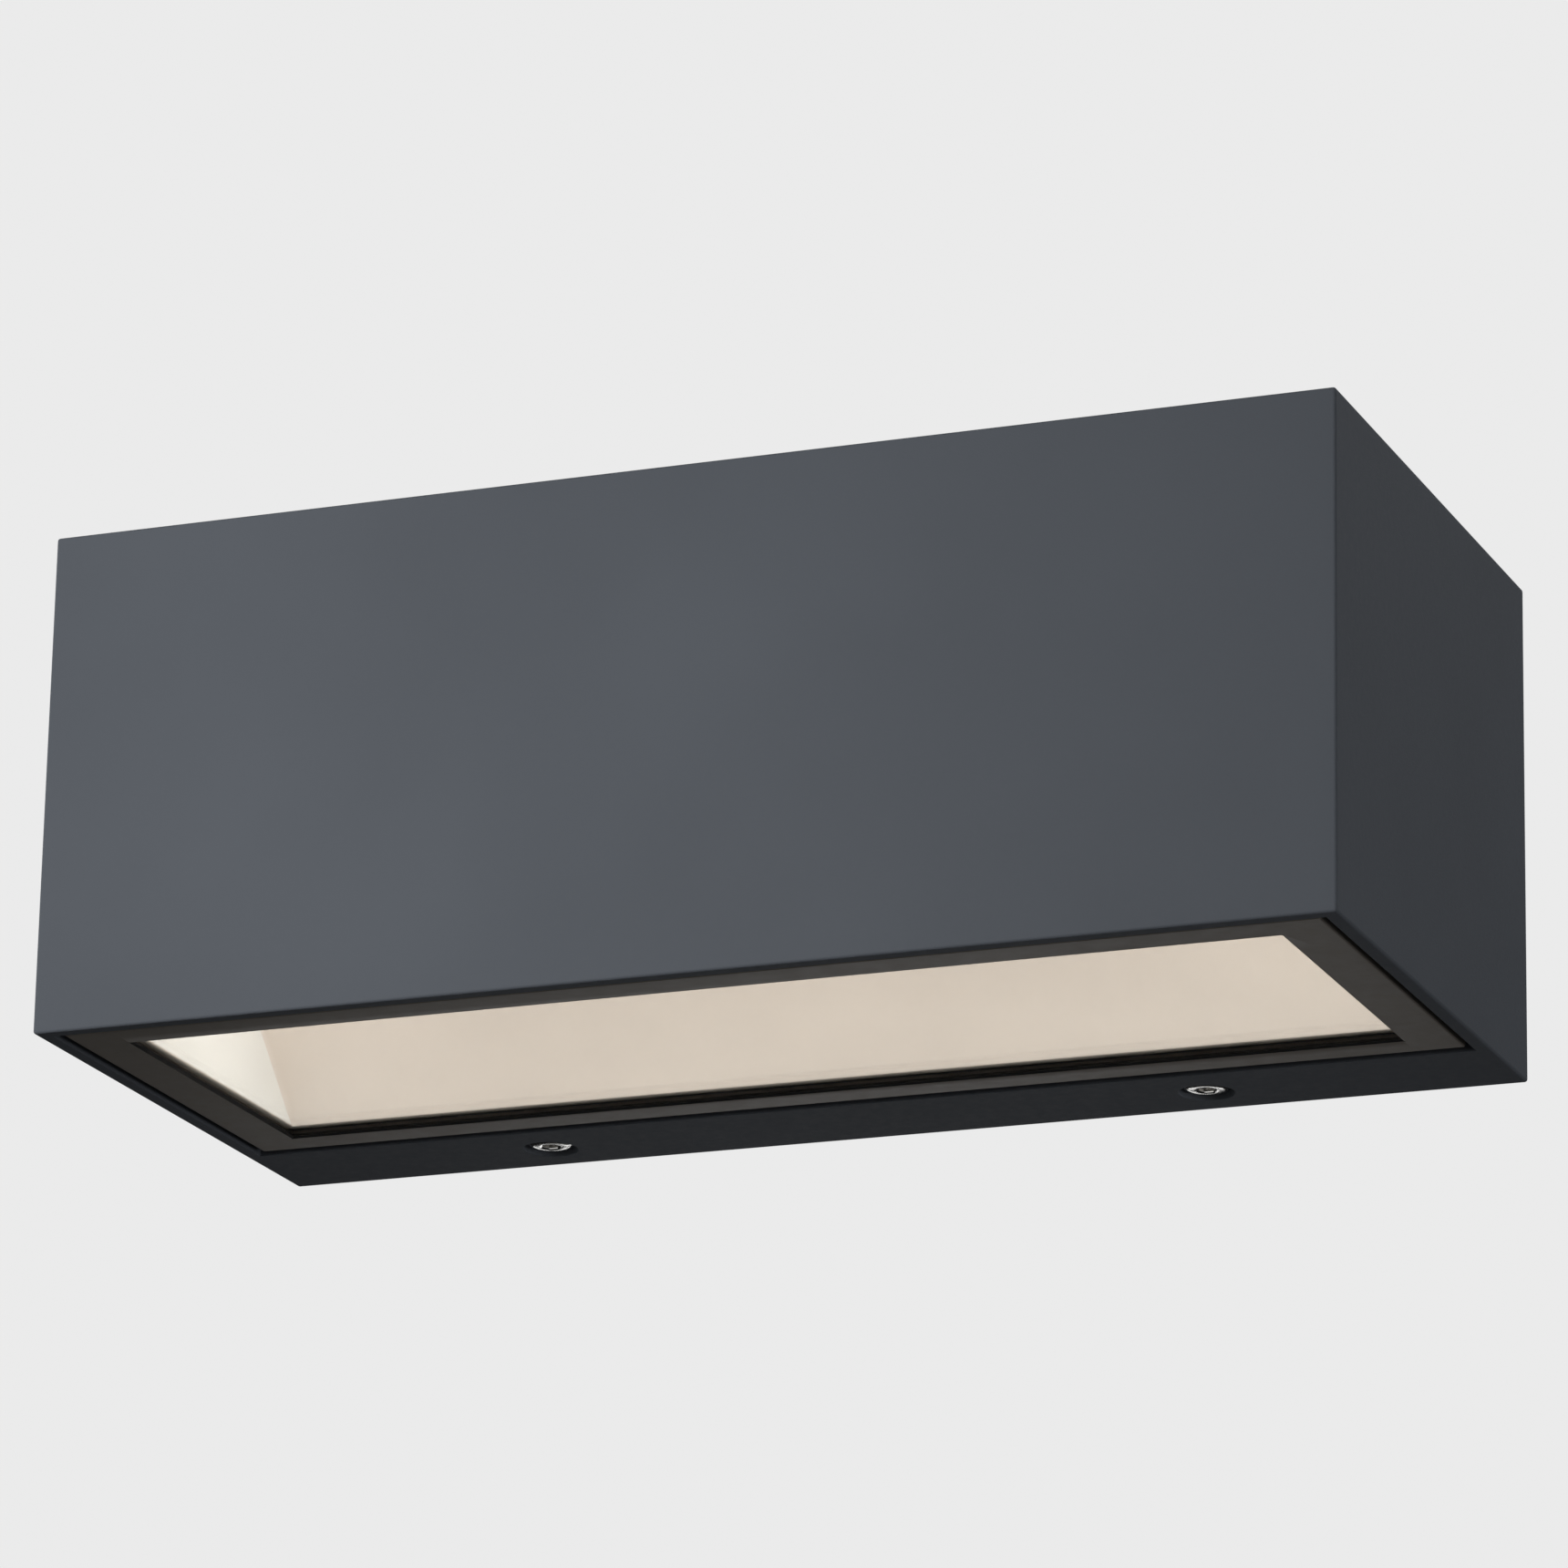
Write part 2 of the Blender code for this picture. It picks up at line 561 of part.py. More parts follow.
def housing():
    """The cast box: two chambers, a partition with an opening, and the bottom rail."""
    shell = box("housing", (-RIGHT, FRONT, BOTTOM), (RIGHT, REAR_RIM, TOP))
    rounded(shell, EDGE_RADIUS)
    cut(
        shell,
        box(
            "front_chamber",
            (-INNER_RIGHT, INNER_FRONT, BOTTOM - OVERRUN),
            (INNER_RIGHT, PARTITION_FRONT, INNER_TOP),
        ),
        box(
            "rear_chamber",
            (-INNER_RIGHT, PARTITION_REAR, RAIL_TOP),
            (INNER_RIGHT, REAR_RIM + OVERRUN, INNER_TOP),
        ),
        box(
            "bezel_recess",
            (-INNER_RIGHT, INNER_FRONT, BOTTOM - OVERRUN),
            (INNER_RIGHT, RAIL_FRONT, RAIL_TOP),
        ),
        box(
            "partition_opening",
            (-OPENING_RIGHT, PARTITION_FRONT - OVERRUN, OPENING_BOTTOM),
            (OPENING_RIGHT, PARTITION_REAR + OVERRUN, OPENING_TOP),
        ),
    )
    for i, (x, y) in enumerate(mirrored_places(POST_X, POST_FRONT_Y, POST_REAR_Y)):
        foot = DRIVER_BOTTOM
        join(shell, rod(f"post_{i + 1}", POST_RADIUS, (x, y, foot), (x, y, INNER_TOP + ROOT), HOLE_SIDES))
        hole_top = SPREADER_TOP + SPREADER_SCREW_LENGTH
        cut(shell, small_hole(f"post_hole_{i + 1}", (x, y, foot - OVERRUN), (x, y, hole_top)))
    for i, (x, y) in enumerate(mirrored_places(1, LUG_FRONT_Y, LUG_REAR_Y)):
        inner = INNER_RIGHT - LUG_LENGTH
        outer = INNER_RIGHT + ROOT
        low_x, high_x = sorted((x * inner, x * outer))
        join(
            shell,
            box(
                f"lug_{i + 1}",
                (low_x, y - LUG_WIDTH / 2, LUG_BOTTOM),
                (high_x, y + LUG_WIDTH / 2, LUG_TOP),
            ),
        )
        hole_x = x * BEZEL_BOSS_X
        cut(
            shell,
            small_hole(
                f"lug_hole_{i + 1}",
                (hole_x, y, LUG_BOTTOM - OVERRUN),
                (hole_x, y, LUG_TOP + OVERRUN),
            ),
        )
    for side, x in (("left", -FIXING_X), ("right", FIXING_X)):
        boss_top = RAIL_TOP + RAIL_BOSS_HEIGHT
        hole_radius = FIXING_SHANK_RADIUS + SEAT_GAP
        join(
            shell,
            rod(
                f"rail_boss_{side}",
                RAIL_BOSS_RADIUS,
                (x, FIXING_Y, RAIL_TOP - ROOT),
                (x, FIXING_Y, boss_top),
                HOLE_SIDES,
            ),
        )
        cut(
            shell,
            rod(
                f"rail_hole_{side}",
                hole_radius,
                (x, FIXING_Y, BOTTOM - OVERRUN),
                (x, FIXING_Y, boss_top + OVERRUN),
                FIXING_SIDES,
            ),
            rod(
                f"counterbore_{side}",
                COUNTERBORE_RADIUS,
                (x, FIXING_Y, BOTTOM - OVERRUN),
                (x, FIXING_Y, COUNTERBORE_TOP),
                FIXING_SIDES,
            ),
        )
    for i, (x, z) in enumerate(cover_screw_places()):
        cut(
            shell,
            small_hole(
                f"partition_hole_{i + 1}",
                (x, PARTITION_FRONT - OVERRUN, z),
                (x, PARTITION_REAR + OVERRUN, z),
            ),
        )
    return finish(shell, "powder_coat")


def lens_bezel():
    """The frame in the underside: a plate with the window, a seat with a rim for the pane, and bosses."""
    frame = box(
        "lens_bezel",
        (-BEZEL_RIGHT, BEZEL_FRONT, BEZEL_BOTTOM),
        (BEZEL_RIGHT, BEZEL_REAR, BEZEL_TOP),
    )
    rounded(frame, BEZEL_EDGE, 2)
    rim_right = SEAT_RIGHT + RIM_THICKNESS
    join(
        frame,
        box(
            "bezel_rim",
            (-rim_right, SEAT_FRONT - RIM_THICKNESS, BEZEL_TOP - ROOT),
            (rim_right, SEAT_REAR + RIM_THICKNESS, PANE_TOP),
        ),
    )
    places = [(side * BEZEL_BOSS_X, y) for side, y in mirrored_places(1, LUG_FRONT_Y, LUG_REAR_Y)]
    for i, (x, y) in enumerate(places):
        join(
            frame,
            rod(
                f"bezel_boss_{i + 1}",
                BEZEL_BOSS_RADIUS,
                (x, y, BEZEL_TOP - ROOT),
                (x, y, BEZEL_BOSS_TOP),
                HOLE_SIDES,
            ),
        )
    cut(
        frame,
        box(
            "pane_seat",
            (-SEAT_RIGHT, SEAT_FRONT, SEAT_FLOOR),
            (SEAT_RIGHT, SEAT_REAR, BEZEL_BOSS_TOP + OVERRUN),
        ),
        box(
            "window",
            (-WINDOW_RIGHT, WINDOW_FRONT, BEZEL_BOTTOM - OVERRUN),
            (WINDOW_RIGHT, WINDOW_REAR, BEZEL_TOP + OVERRUN),
        ),
    )
    for i, (x, y) in enumerate(places):
        cut(
            frame,
            small_hole(f"bezel_hole_{i + 1}", (x, y, BEZEL_TOP), (x, y, BEZEL_BOSS_TOP + OVERRUN)),
        )
        length = LUG_THICKNESS + BEZEL_SCREW_GRIP
        small_screw(f"bezel_screw_{i + 1}", (x, y, LUG_TOP + SEAT_GAP), UP, length)
    return finish(frame, "bezel_coat")


def glass_gasket():
    """The silicone frame in the bezel's seat, all round the edge of the pane."""
    outer_right = PANE_RIGHT + GASKET_REACH
    seal = box(
        "glass_gasket",
        (-outer_right, PANE_FRONT - GASKET_REACH, PANE_BOTTOM),
        (outer_right, PANE_REAR + GASKET_REACH, GASKET_TOP),
    )
    inner_right = PANE_RIGHT + SEAT_GAP
    cut(
        seal,
        box(
            "gasket_window",
            (-inner_right, PANE_FRONT - SEAT_GAP, PANE_BOTTOM - OVERRUN),
            (inner_right, PANE_REAR + SEAT_GAP, GASKET_TOP + OVERRUN),
        ),
    )
    return finish(seal, "black_silicone")


def glass_pane():
    pane = box(
        "glass_pane",
        (-PANE_RIGHT, PANE_FRONT, PANE_BOTTOM),
        (PANE_RIGHT, PANE_REAR, PANE_TOP),
    )
    rounded(pane, PANE_EDGE, 1)
    return finish(pane, "clear_glass")


def reflector():
    """The folded tray: upright ends and front, a rear wall that leans forwards, and a flange."""
    shape = bmesh.new()
    bmesh.ops.create_cube(shape, size=1)
    bmesh.ops.scale(shape, vec=(2 * WINDOW_RIGHT, WINDOW_DEPTH, CHAMBER_HEIGHT), verts=shape.verts)
    floor = min(shape.faces, key=lambda face: face.calc_center_median().z)
    bmesh.ops.delete(shape, geom=[floor], context="FACES_ONLY")
    for corner in shape.verts:
        if corner.co.z > 0 and corner.co.y > 0:
            corner.co.y = CHAMBER_ROOF_DEPTH - WINDOW_DEPTH / 2
    rim = [edge for edge in shape.edges if edge.is_boundary]
    grown = bmesh.ops.extrude_edge_only(shape, edges=rim)
    for corner in grown["geom"]:
        if isinstance(corner, bmesh.types.BMVert):
            corner.co.x += math.copysign(PANE_OVERLAP, corner.co.x)
            corner.co.y += math.copysign(PANE_OVERLAP, corner.co.y)
    mesh = bpy.data.meshes.new("reflector")
    shape.to_mesh(mesh)
    shape.free()
    tray = place(
        "reflector",
        mesh,
        (0, (WINDOW_FRONT + WINDOW_REAR) / 2, (CHAMBER_BOTTOM + CHAMBER_TOP) / 2),
    )
    sheet = tray.modifiers.new("sheet", "SOLIDIFY")
    sheet.thickness = REFLECTOR_THICKNESS
    sheet.offset = 1
    sheet.use_even_offset = True
    cut(
        tray,
        box(
            "led_slot",
            (-BOARD_RIGHT, BOARD_Y - SLOT_WIDTH / 2, CHAMBER_TOP - OVERRUN),
            (BOARD_RIGHT, BOARD_Y + SLOT_WIDTH / 2, CHAMBER_TOP + REFLECTOR_THICKNESS + OVERRUN),
        ),
    )
    return finish(tray, "cream_coat")


def board_screw_places():
    x = BOARD_RIGHT - BOARD_SCREW_INSET
    return [(side * x, BOARD_Y) for side in (-1, 1)]


def led_board():
    """The strip board, with its LEDs and two screws below it."""
    board = box(
        "led_board",
        (-BOARD_RIGHT, BOARD_Y - BOARD_WIDTH / 2, BOARD_BOTTOM),
        (BOARD_RIGHT, BOARD_Y + BOARD_WIDTH / 2, BOARD_TOP),
    )
    for i, (x, y) in enumerate(board_screw_places()):
        cut(
            board,
            small_hole(f"board_hole_{i + 1}", (x, y, BOARD_BOTTOM - OVERRUN), (x, y, BOARD_TOP + OVERRUN)),
        )
        length = BOARD_THICKNESS + SPREADER_THICKNESS + SEAT_GAP
        small_screw(f"board_screw_{i + 1}", (x, y, BOARD_BOTTOM - SEAT_GAP), DOWN, length)
    led_top = BOARD_BOTTOM - SEAT_GAP
    for i in range(LED_COUNT):
        x = (i - (LED_COUNT - 1) / 2) * LED_PITCH
        chip = box(
            f"led_{i + 1}",
            (x - LED_SIDE / 2, BOARD_Y - LED_SIDE / 2, led_top - LED_THICKNESS),
            (x + LED_SIDE / 2, BOARD_Y + LED_SIDE / 2, led_top),
        )
        finish(chip, "led_phosphor")
    return finish(board, "board_mask")


def spreader_screw_places():
    return mirrored_places(POST_X, POST_FRONT_Y, POST_REAR_Y)


def driver_screw_places():
    y = DRIVER_REAR_Y - DRIVER_EAR_INSET
    reach = DRIVER_EAR_LENGTH / 2
    return [(DRIVER_LEFT_X - reach, y), (DRIVER_RIGHT_X + reach, y)]


def heat_spreader():
    """The aluminium plate under the posts, with the lead slot beside the board's right end."""
    plate = box(
        "heat_spreader",
        (-SPREADER_RIGHT, SPREADER_FRONT, SPREADER_BOTTOM),
        (SPREADER_RIGHT, SPREADER_REAR, SPREADER_TOP),
    )
    slot_left = BOARD_RIGHT + LEAD_SLOT_OFFSET
    low = SPREADER_BOTTOM - OVERRUN
    high = SPREADER_TOP + OVERRUN
    cut(
        plate,
        box(
            "lead_slot",
            (slot_left, BOARD_Y - LEAD_SLOT_WIDTH / 2, low),
            (slot_left + LEAD_SLOT_LENGTH, BOARD_Y + LEAD_SLOT_WIDTH / 2, high),
        ),
    )
    places = spreader_screw_places() + board_screw_places() + driver_screw_places()
    for i, (x, y) in enumerate(places):
        cut(plate, small_hole(f"spreader_hole_{i + 1}", (x, y, low), (x, y, high)))
    for i, (x, y) in enumerate(spreader_screw_places()):
        small_screw(
            f"spreader_screw_{i + 1}", (x, y, SPREADER_BOTTOM - SEAT_GAP), DOWN, SPREADER_SCREW_LENGTH
        )
    return finish(plate, "bare_aluminium")


def led_driver():
    """The driver: a case with rounded edges and an ear with a screw at each end."""
    case = box(
        "led_driver",
        (DRIVER_LEFT_X, DRIVER_FRONT_Y, DRIVER_BOTTOM),
        (DRIVER_RIGHT_X, DRIVER_REAR_Y, DRIVER_BOTTOM + DRIVER_HEIGHT),
    )
    rounded(case, DRIVER_EDGE)
    ear_top = DRIVER_BOTTOM + DRIVER_EAR_THICKNESS
    for i, (x, y) in enumerate(driver_screw_places()):
        inwards = 1 if x < DRIVER_LEFT_X else -1
        outer_x = x - inwards * DRIVER_EAR_LENGTH / 2
        inner_x = x + inwards * (DRIVER_EAR_LENGTH / 2 + DRIVER_EDGE + ROOT)
        low_x, high_x = sorted((outer_x, inner_x))
        join(
            case,
            box(
                f"driver_ear_{i + 1}",
                (low_x, y - DRIVER_EAR_WIDTH / 2, DRIVER_BOTTOM),
                (high_x, y + DRIVER_EAR_WIDTH / 2, ear_top),
            ),
        )
        cut(
            case,
            small_hole(f"ear_hole_{i + 1}", (x, y, DRIVER_BOTTOM - OVERRUN), (x, y, ear_top + OVERRUN)),
        )
        length = DRIVER_EAR_THICKNESS + SPREADER_THICKNESS
        small_screw(f"driver_screw_{i + 1}", (x, y, ear_top + SEAT_GAP), UP, length)
    return finish(case, "driver_case")


def cover_screw_places():
    x = COVER_RIGHT - COVER_SCREW_INSET
    low = COVER_BOTTOM + COVER_SCREW_INSET
    high = COVER_TOP - COVER_SCREW_INSET
    return [(side * x, z) for z in (low, high) for side in (-1, 1)]


def cover_holes(owner, low_y, high_y):
    """Cutters for the four cover screws through a plate or a gasket."""
    return [
        small_hole(f"{owner}_hole_{i + 1}", (x, low_y - OVERRUN, z), (x, high_y + OVERRUN, z))
        for i, (x, z) in enumerate(cover_screw_places())
    ]


def rear_cover():
    """The plate behind the partition's opening, with holes for its screws, tag, block and grommet."""
    plate = box(
        "rear_cover",
        (-COVER_RIGHT, COVER_FRONT, COVER_BOTTOM),
        (COVER_RIGHT, COVER_REAR, COVER_TOP),
    )
    rounded(plate, COVER_EDGE, 1)
    cut(plate, *cover_holes("cover", COVER_FRONT, COVER_REAR))
    through = (COVER_FRONT - OVERRUN, COVER_REAR + OVERRUN)
    for name, radius, x, z in (
        ("cover_grommet_hole", LEAD_GROMMET_NECK_RADIUS + SEAT_GAP, LEAD_GROMMET_X, LEAD_GROMMET_Z),
        ("cover_tag_hole", EARTH_SHANK_RADIUS + SEAT_GAP, TAG_X, TAG_Z),
        ("cover_block_hole", SMALL_SHANK_RADIUS + SEAT_GAP, BLOCK_SCREW_X, BLOCK_SCREW_Z),
    ):
        cut(plate, rod(name, radius, (x, through[0], z), (x, through[1], z), HOLE_SIDES))
    for i, (x, z) in enumerate(cover_screw_places()):
        length = COVER_THICKNESS + COVER_GASKET_THICKNESS + PARTITION_THICKNESS
        small_screw(f"cover_screw_{i + 1}", (x, COVER_REAR + SEAT_GAP, z), BACK, length)
    return finish(plate, "bare_aluminium")


def cover_gasket():
    seal = box(
        "cover_gasket",
        (-COVER_RIGHT, COVER_GASKET_FRONT, COVER_BOTTOM),
        (COVER_RIGHT, COVER_GASKET_REAR, COVER_TOP),
    )
    cut(
        seal,
        box(
            "gasket_opening",
            (-OPENING_RIGHT, COVER_GASKET_FRONT - OVERRUN, OPENING_BOTTOM),
            (OPENING_RIGHT, COVER_GASKET_REAR + OVERRUN, OPENING_TOP),
        ),
        *cover_holes("gasket", COVER_GASKET_FRONT, COVER_GASKET_REAR),
    )
    return finish(seal, "grey_rubber")


def terminal_block():
    """A three-pole block: wire holes in both ends, clamp holes in its back and a fixing tab below."""
    block = box(
        "terminal_block",
        (BLOCK_LEFT_X, BLOCK_FRONT, BLOCK_BOTTOM),
        (BLOCK_RIGHT_X, BLOCK_REAR, BLOCK_TOP),
    )
    rounded(block, BLOCK_EDGE, 1)
    tab_rear = BLOCK_FRONT + BLOCK_TAB_THICKNESS
    x = BLOCK_SCREW_X
    z = BLOCK_SCREW_Z
    join(
        block,
        box(
            "block_tab",
            (x - BLOCK_TAB_LENGTH / 2, BLOCK_FRONT, BLOCK_BOTTOM - BLOCK_TAB_LENGTH),
            (x + BLOCK_TAB_LENGTH / 2, tab_rear, BLOCK_BOTTOM + BLOCK_EDGE + ROOT),
        ),
    )
    cut(block, small_hole("tab_hole", (x, BLOCK_FRONT - OVERRUN, z), (x, tab_rear + OVERRUN, z)))
    small_screw(
        "terminal_screw",
        (x, tab_rear + SEAT_GAP, z),
        BACK,
        BLOCK_TAB_THICKNESS + COVER_THICKNESS,
    )
    for pole in range(POLE_COUNT):
        z = BLOCK_CENTRE_Z + (pole - (POLE_COUNT - 1) / 2) * POLE_PITCH
        for side, mouth, inwards in (("left", BLOCK_LEFT_X, 1), ("right", BLOCK_RIGHT_X, -1)):
            cut(
                block,
                rod(
                    f"wire_hole_{side}_{pole + 1}",
                    WIRE_HOLE_RADIUS,
                    (mouth - inwards * OVERRUN, BLOCK_MIDDLE_Y, z),
                    (mouth + inwards * WIRE_HOLE_DEPTH, BLOCK_MIDDLE_Y, z),
                    SMALL_SIDES,
                ),
            )
            clamp_x = mouth + inwards * LEAD_ENTRY
            cut(
                block,
                rod(
                    f"clamp_hole_{side}_{pole + 1}",
                    CLAMP_HOLE_RADIUS,
                    (clamp_x, BLOCK_REAR - CLAMP_HOLE_DEPTH, z),
                    (clamp_x, BLOCK_REAR + OVERRUN, z),
                    SMALL_SIDES,
                ),
            )
    return finish(block, "terminal_plastic")


def lead_grommet():
    """A rubber grommet that grips the rear cover's edge, with a hole for each mains lead."""
    flange = LEAD_GROMMET_FLANGE_THICKNESS
    half = COVER_THICKNESS / 2 + SEAT_GAP
    outer = LEAD_GROMMET_FLANGE_RADIUS
    neck = LEAD_GROMMET_NECK_RADIUS
    profile = (
        (0, half + flange),
        (outer, half + flange),
        (outer, half),
        (neck, half),
        (neck, -half),
        (outer, -half),
        (outer, -half - flange),
        (0, -half - flange),
    )
    middle = (COVER_FRONT + COVER_REAR) / 2
    grommet = turned(
        "lead_grommet", profile, (LEAD_GROMMET_X, middle, LEAD_GROMMET_Z), BACK, HOLE_SIDES
    )
    reach = half + flange + OVERRUN
    for i, z in enumerate((LIVE_Z, NEUTRAL_Z)):
        cut(
            grommet,
            rod(
                f"grommet_lead_hole_{i + 1}",
                MAINS_LEAD_RADIUS + SEAT_GAP,
                (LEAD_GROMMET_X, middle - reach, z),
                (LEAD_GROMMET_X, middle + reach, z),
                SMALL_SIDES,
            ),
        )
    return finish(grommet, "grey_rubber")


def mains_lead(name, drop, pole_z, sleeve):
    """From the driver's left end, back through the grommet and across to the terminal block."""
    start_z = DRIVER_MIDDLE + drop
    start = DRIVER_LEFT_X - SEAT_GAP
    inside_y = COVER_FRONT - LEAD_STRAIGHT - LEAD_GROMMET_FLANGE_THICKNESS
    outside_y = COVER_REAR + SEAT_GAP + LEAD_GROMMET_FLANGE_THICKNESS
    turn_x = LEAD_GROMMET_X
    bend = BLOCK_MIDDLE_Y - outside_y
    eighth = math.pi / 4
    route = [
        (start, DRIVER_CENTRE_Y, start_z),
        (start - LEAD_STRAIGHT, DRIVER_CENTRE_Y, start_z),
        (turn_x, DRIVER_CENTRE_Y + 2 * LEAD_STRAIGHT, (start_z + pole_z) / 2),
        (turn_x, inside_y, pole_z),
        (turn_x, outside_y, pole_z),
        (turn_x + bend * (1 - math.cos(eighth)), outside_y + bend * math.sin(eighth), pole_z),
        (turn_x + bend, BLOCK_MIDDLE_Y, pole_z),
        (BLOCK_LEFT_X - LEAD_STRAIGHT, BLOCK_MIDDLE_Y, pole_z),
        (BLOCK_LEFT_X + LEAD_ENTRY, BLOCK_MIDDLE_Y, pole_z),
    ]
    return lead(name, MAINS_LEAD_RADIUS, route, sleeve)


def earth_lead():
    """From the terminal block's lowest pole down to the barrel of the earth tag."""
    barrel_top = TAG_Z + TAG_TONGUE_LENGTH + TAG_BARREL_LENGTH + SEAT_GAP
    route = [
        (BLOCK_LEFT_X + LEAD_ENTRY, BLOCK_MIDDLE_Y, EARTH_Z),
        (BLOCK_LEFT_X - LEAD_STRAIGHT, BLOCK_MIDDLE_Y, EARTH_Z),
        ((TAG_X + BLOCK_LEFT_X) / 2, (BLOCK_MIDDLE_Y + TAG_BARREL_Y) / 2, EARTH_Z - MAINS_LEAD_RADIUS),
        (TAG_X, TAG_BARREL_Y, barrel_top + LEAD_STRAIGHT / 2),
        (TAG_X, TAG_BARREL_Y, barrel_top),
    ]
    return lead("lead_earth", MAINS_LEAD_RADIUS, route, "green_yellow_sleeve")


def led_lead(name, side, sleeve):
    """From the driver's right end, down through the spreader's slot to the board's end."""
    y = BOARD_Y + side * LED_LEAD_PITCH / 2
    start_y = DRIVER_CENTRE_Y + side * LED_LEAD_PITCH / 2
    slot_x = BOARD_RIGHT + LEAD_SLOT_OFFSET + LEAD_SLOT_LENGTH / 2
    board_z = (BOARD_BOTTOM + BOARD_TOP) / 2
    run_z = SPREADER_TOP + LEAD_STRAIGHT
    route = [
        (DRIVER_RIGHT_X + SEAT_GAP, start_y, DRIVER_MIDDLE),
        (DRIVER_RIGHT_X + LEAD_STRAIGHT, start_y, DRIVER_MIDDLE),
        (DRIVER_RIGHT_X + 4 * LEAD_STRAIGHT, (start_y + y) / 2, run_z),
        (slot_x - 3 * LEAD_STRAIGHT, y, run_z),
        (slot_x, y, SPREADER_TOP + LED_LEAD_RADIUS),
        (slot_x, y, SPREADER_BOTTOM + LED_LEAD_RADIUS),
        (slot_x - LEAD_STRAIGHT / 2, y, board_z),
        (BOARD_RIGHT + SEAT_GAP, y, board_z),
    ]
    return lead(name, LED_LEAD_RADIUS, route, sleeve)


def earth_tag():
    """A ring tag on the rear cover, with a tongue and a crimped barrel for the earth lead."""
    low = COVER_REAR + SEAT_GAP
    high = low + TAG_THICKNESS
    ring = rod("earth_tag", TAG_RADIUS, (TAG_X, low, TAG_Z), (TAG_X, high, TAG_Z), HOLE_SIDES)
    tongue_top = TAG_Z + TAG_TONGUE_LENGTH
    join(
        ring,
        box(
            "tag_tongue",
            (TAG_X - TAG_BARREL_RADIUS, low, TAG_Z + TAG_RADIUS / 2),
            (TAG_X + TAG_BARREL_RADIUS, high, tongue_top + ROOT),
        ),
        rod(
            "tag_barrel",
            TAG_BARREL_RADIUS,
            (TAG_X, TAG_BARREL_Y, tongue_top),
            (TAG_X, TAG_BARREL_Y, tongue_top + TAG_BARREL_LENGTH),
            SMALL_SIDES,
        ),
    )
    cut(
        ring,
        rod(
            "tag_hole",
            EARTH_SHANK_RADIUS + SEAT_GAP,
            (TAG_X, low - OVERRUN, TAG_Z),
            (TAG_X, high + OVERRUN, TAG_Z),
            SMALL_SIDES,
        ),
    )
    length = TAG_THICKNESS + COVER_THICKNESS
    earth_screw("earth_tag_screw", (TAG_X, high + SEAT_GAP, TAG_Z), BACK, length)
    return finish(ring, "brass")


def wall_bracket():
    """The folded plate on the wall: two flanges, a cable hole, slots and an earth screw hole."""
    plate = box(
        "wall_bracket",
        (-BRACKET_RIGHT, -BRACKET_FLANGE_DEPTH, BRACKET_BOTTOM),
        (BRACKET_RIGHT, 0, BRACKET_TOP),
    )
    bend = plate.modifiers.new("bend", "BEVEL")
    bend.width = BRACKET_BEND_RADIUS
    bend.segments = 2
    bend.limit_method = "WEIGHT"
    sharpness = plate.data.attributes.new("bevel_weight_edge", "FLOAT", "EDGE")
    for edge in plate.data.edges:
        ends = [plate.data.vertices[i].co for i in edge.vertices]
        at_wall = all(end.y > 0 for end in ends)
        crosswise = abs(ends[0].x - ends[1].x) > BRACKET_BEND_RADIUS
        sharpness.data[edge.index].value = 1 if at_wall and crosswise else 0
    cut(
        plate,
        box(
            "bracket_hollow",
            (
                -BRACKET_RIGHT - OVERRUN,
                -BRACKET_FLANGE_DEPTH - OVERRUN,
                BRACKET_BOTTOM + BRACKET_THICKNESS,
            ),
            (BRACKET_RIGHT + OVERRUN, -BRACKET_THICKNESS, BRACKET_TOP - BRACKET_THICKNESS),
        ),
        rod(
            "cable_hole",
            CABLE_HOLE_RADIUS,
            (0, -BRACKET_THICKNESS - OVERRUN, CABLE_HOLE_Z),
            (0, OVERRUN, CABLE_HOLE_Z),
            CABLE_SIDES,
        ),
        rod(
            "bracket_earth_hole",
            EARTH_SHANK_RADIUS + SEAT_GAP,
            (EARTH_SCREW_X, -BRACKET_THICKNESS - OVERRUN, EARTH_SCREW_Z),
            (EARTH_SCREW_X, OVERRUN, EARTH_SCREW_Z),
            SMALL_SIDES,
        ),
    )
    half_height = (BRACKET_TOP - BRACKET_BOTTOM) / 2
    for i, (x_share, z_share, lengthways) in enumerate(WALL_SLOT_PLACE_SHARES):
        for side in (-1, 1):
            x = side * x_share * BRACKET_RIGHT
            z = BRACKET_MIDDLE + z_share * half_height
            cut(plate, slot_cutter(f"wall_slot_{i + 1}_{side}", x, z, lengthways))
    return finish(plate, "galvanised_steel")


def bracket_grommet():
    """A rubber bush pushed into the cable hole from the front, flush with the plate's back."""
    neck = CABLE_HOLE_RADIUS - SEAT_GAP
    bore = BUSH_BORE_RADIUS
    flange_low = BRACKET_THICKNESS + SEAT_GAP
    flange_high = flange_low + BUSH_FLANGE_THICKNESS
    profile = (
        (bore, flange_high),
        (BUSH_FLANGE_RADIUS, flange_high),
        (BUSH_FLANGE_RADIUS, flange_low),
        (neck, flange_low),
        (neck, SEAT_GAP),
        (bore, SEAT_GAP),
    )
    bush = turned(
        "bracket_grommet", profile, (0, 0, CABLE_HOLE_Z), -BACK, CABLE_SIDES, closed=True
    )
    return finish(bush, "grey_rubber")


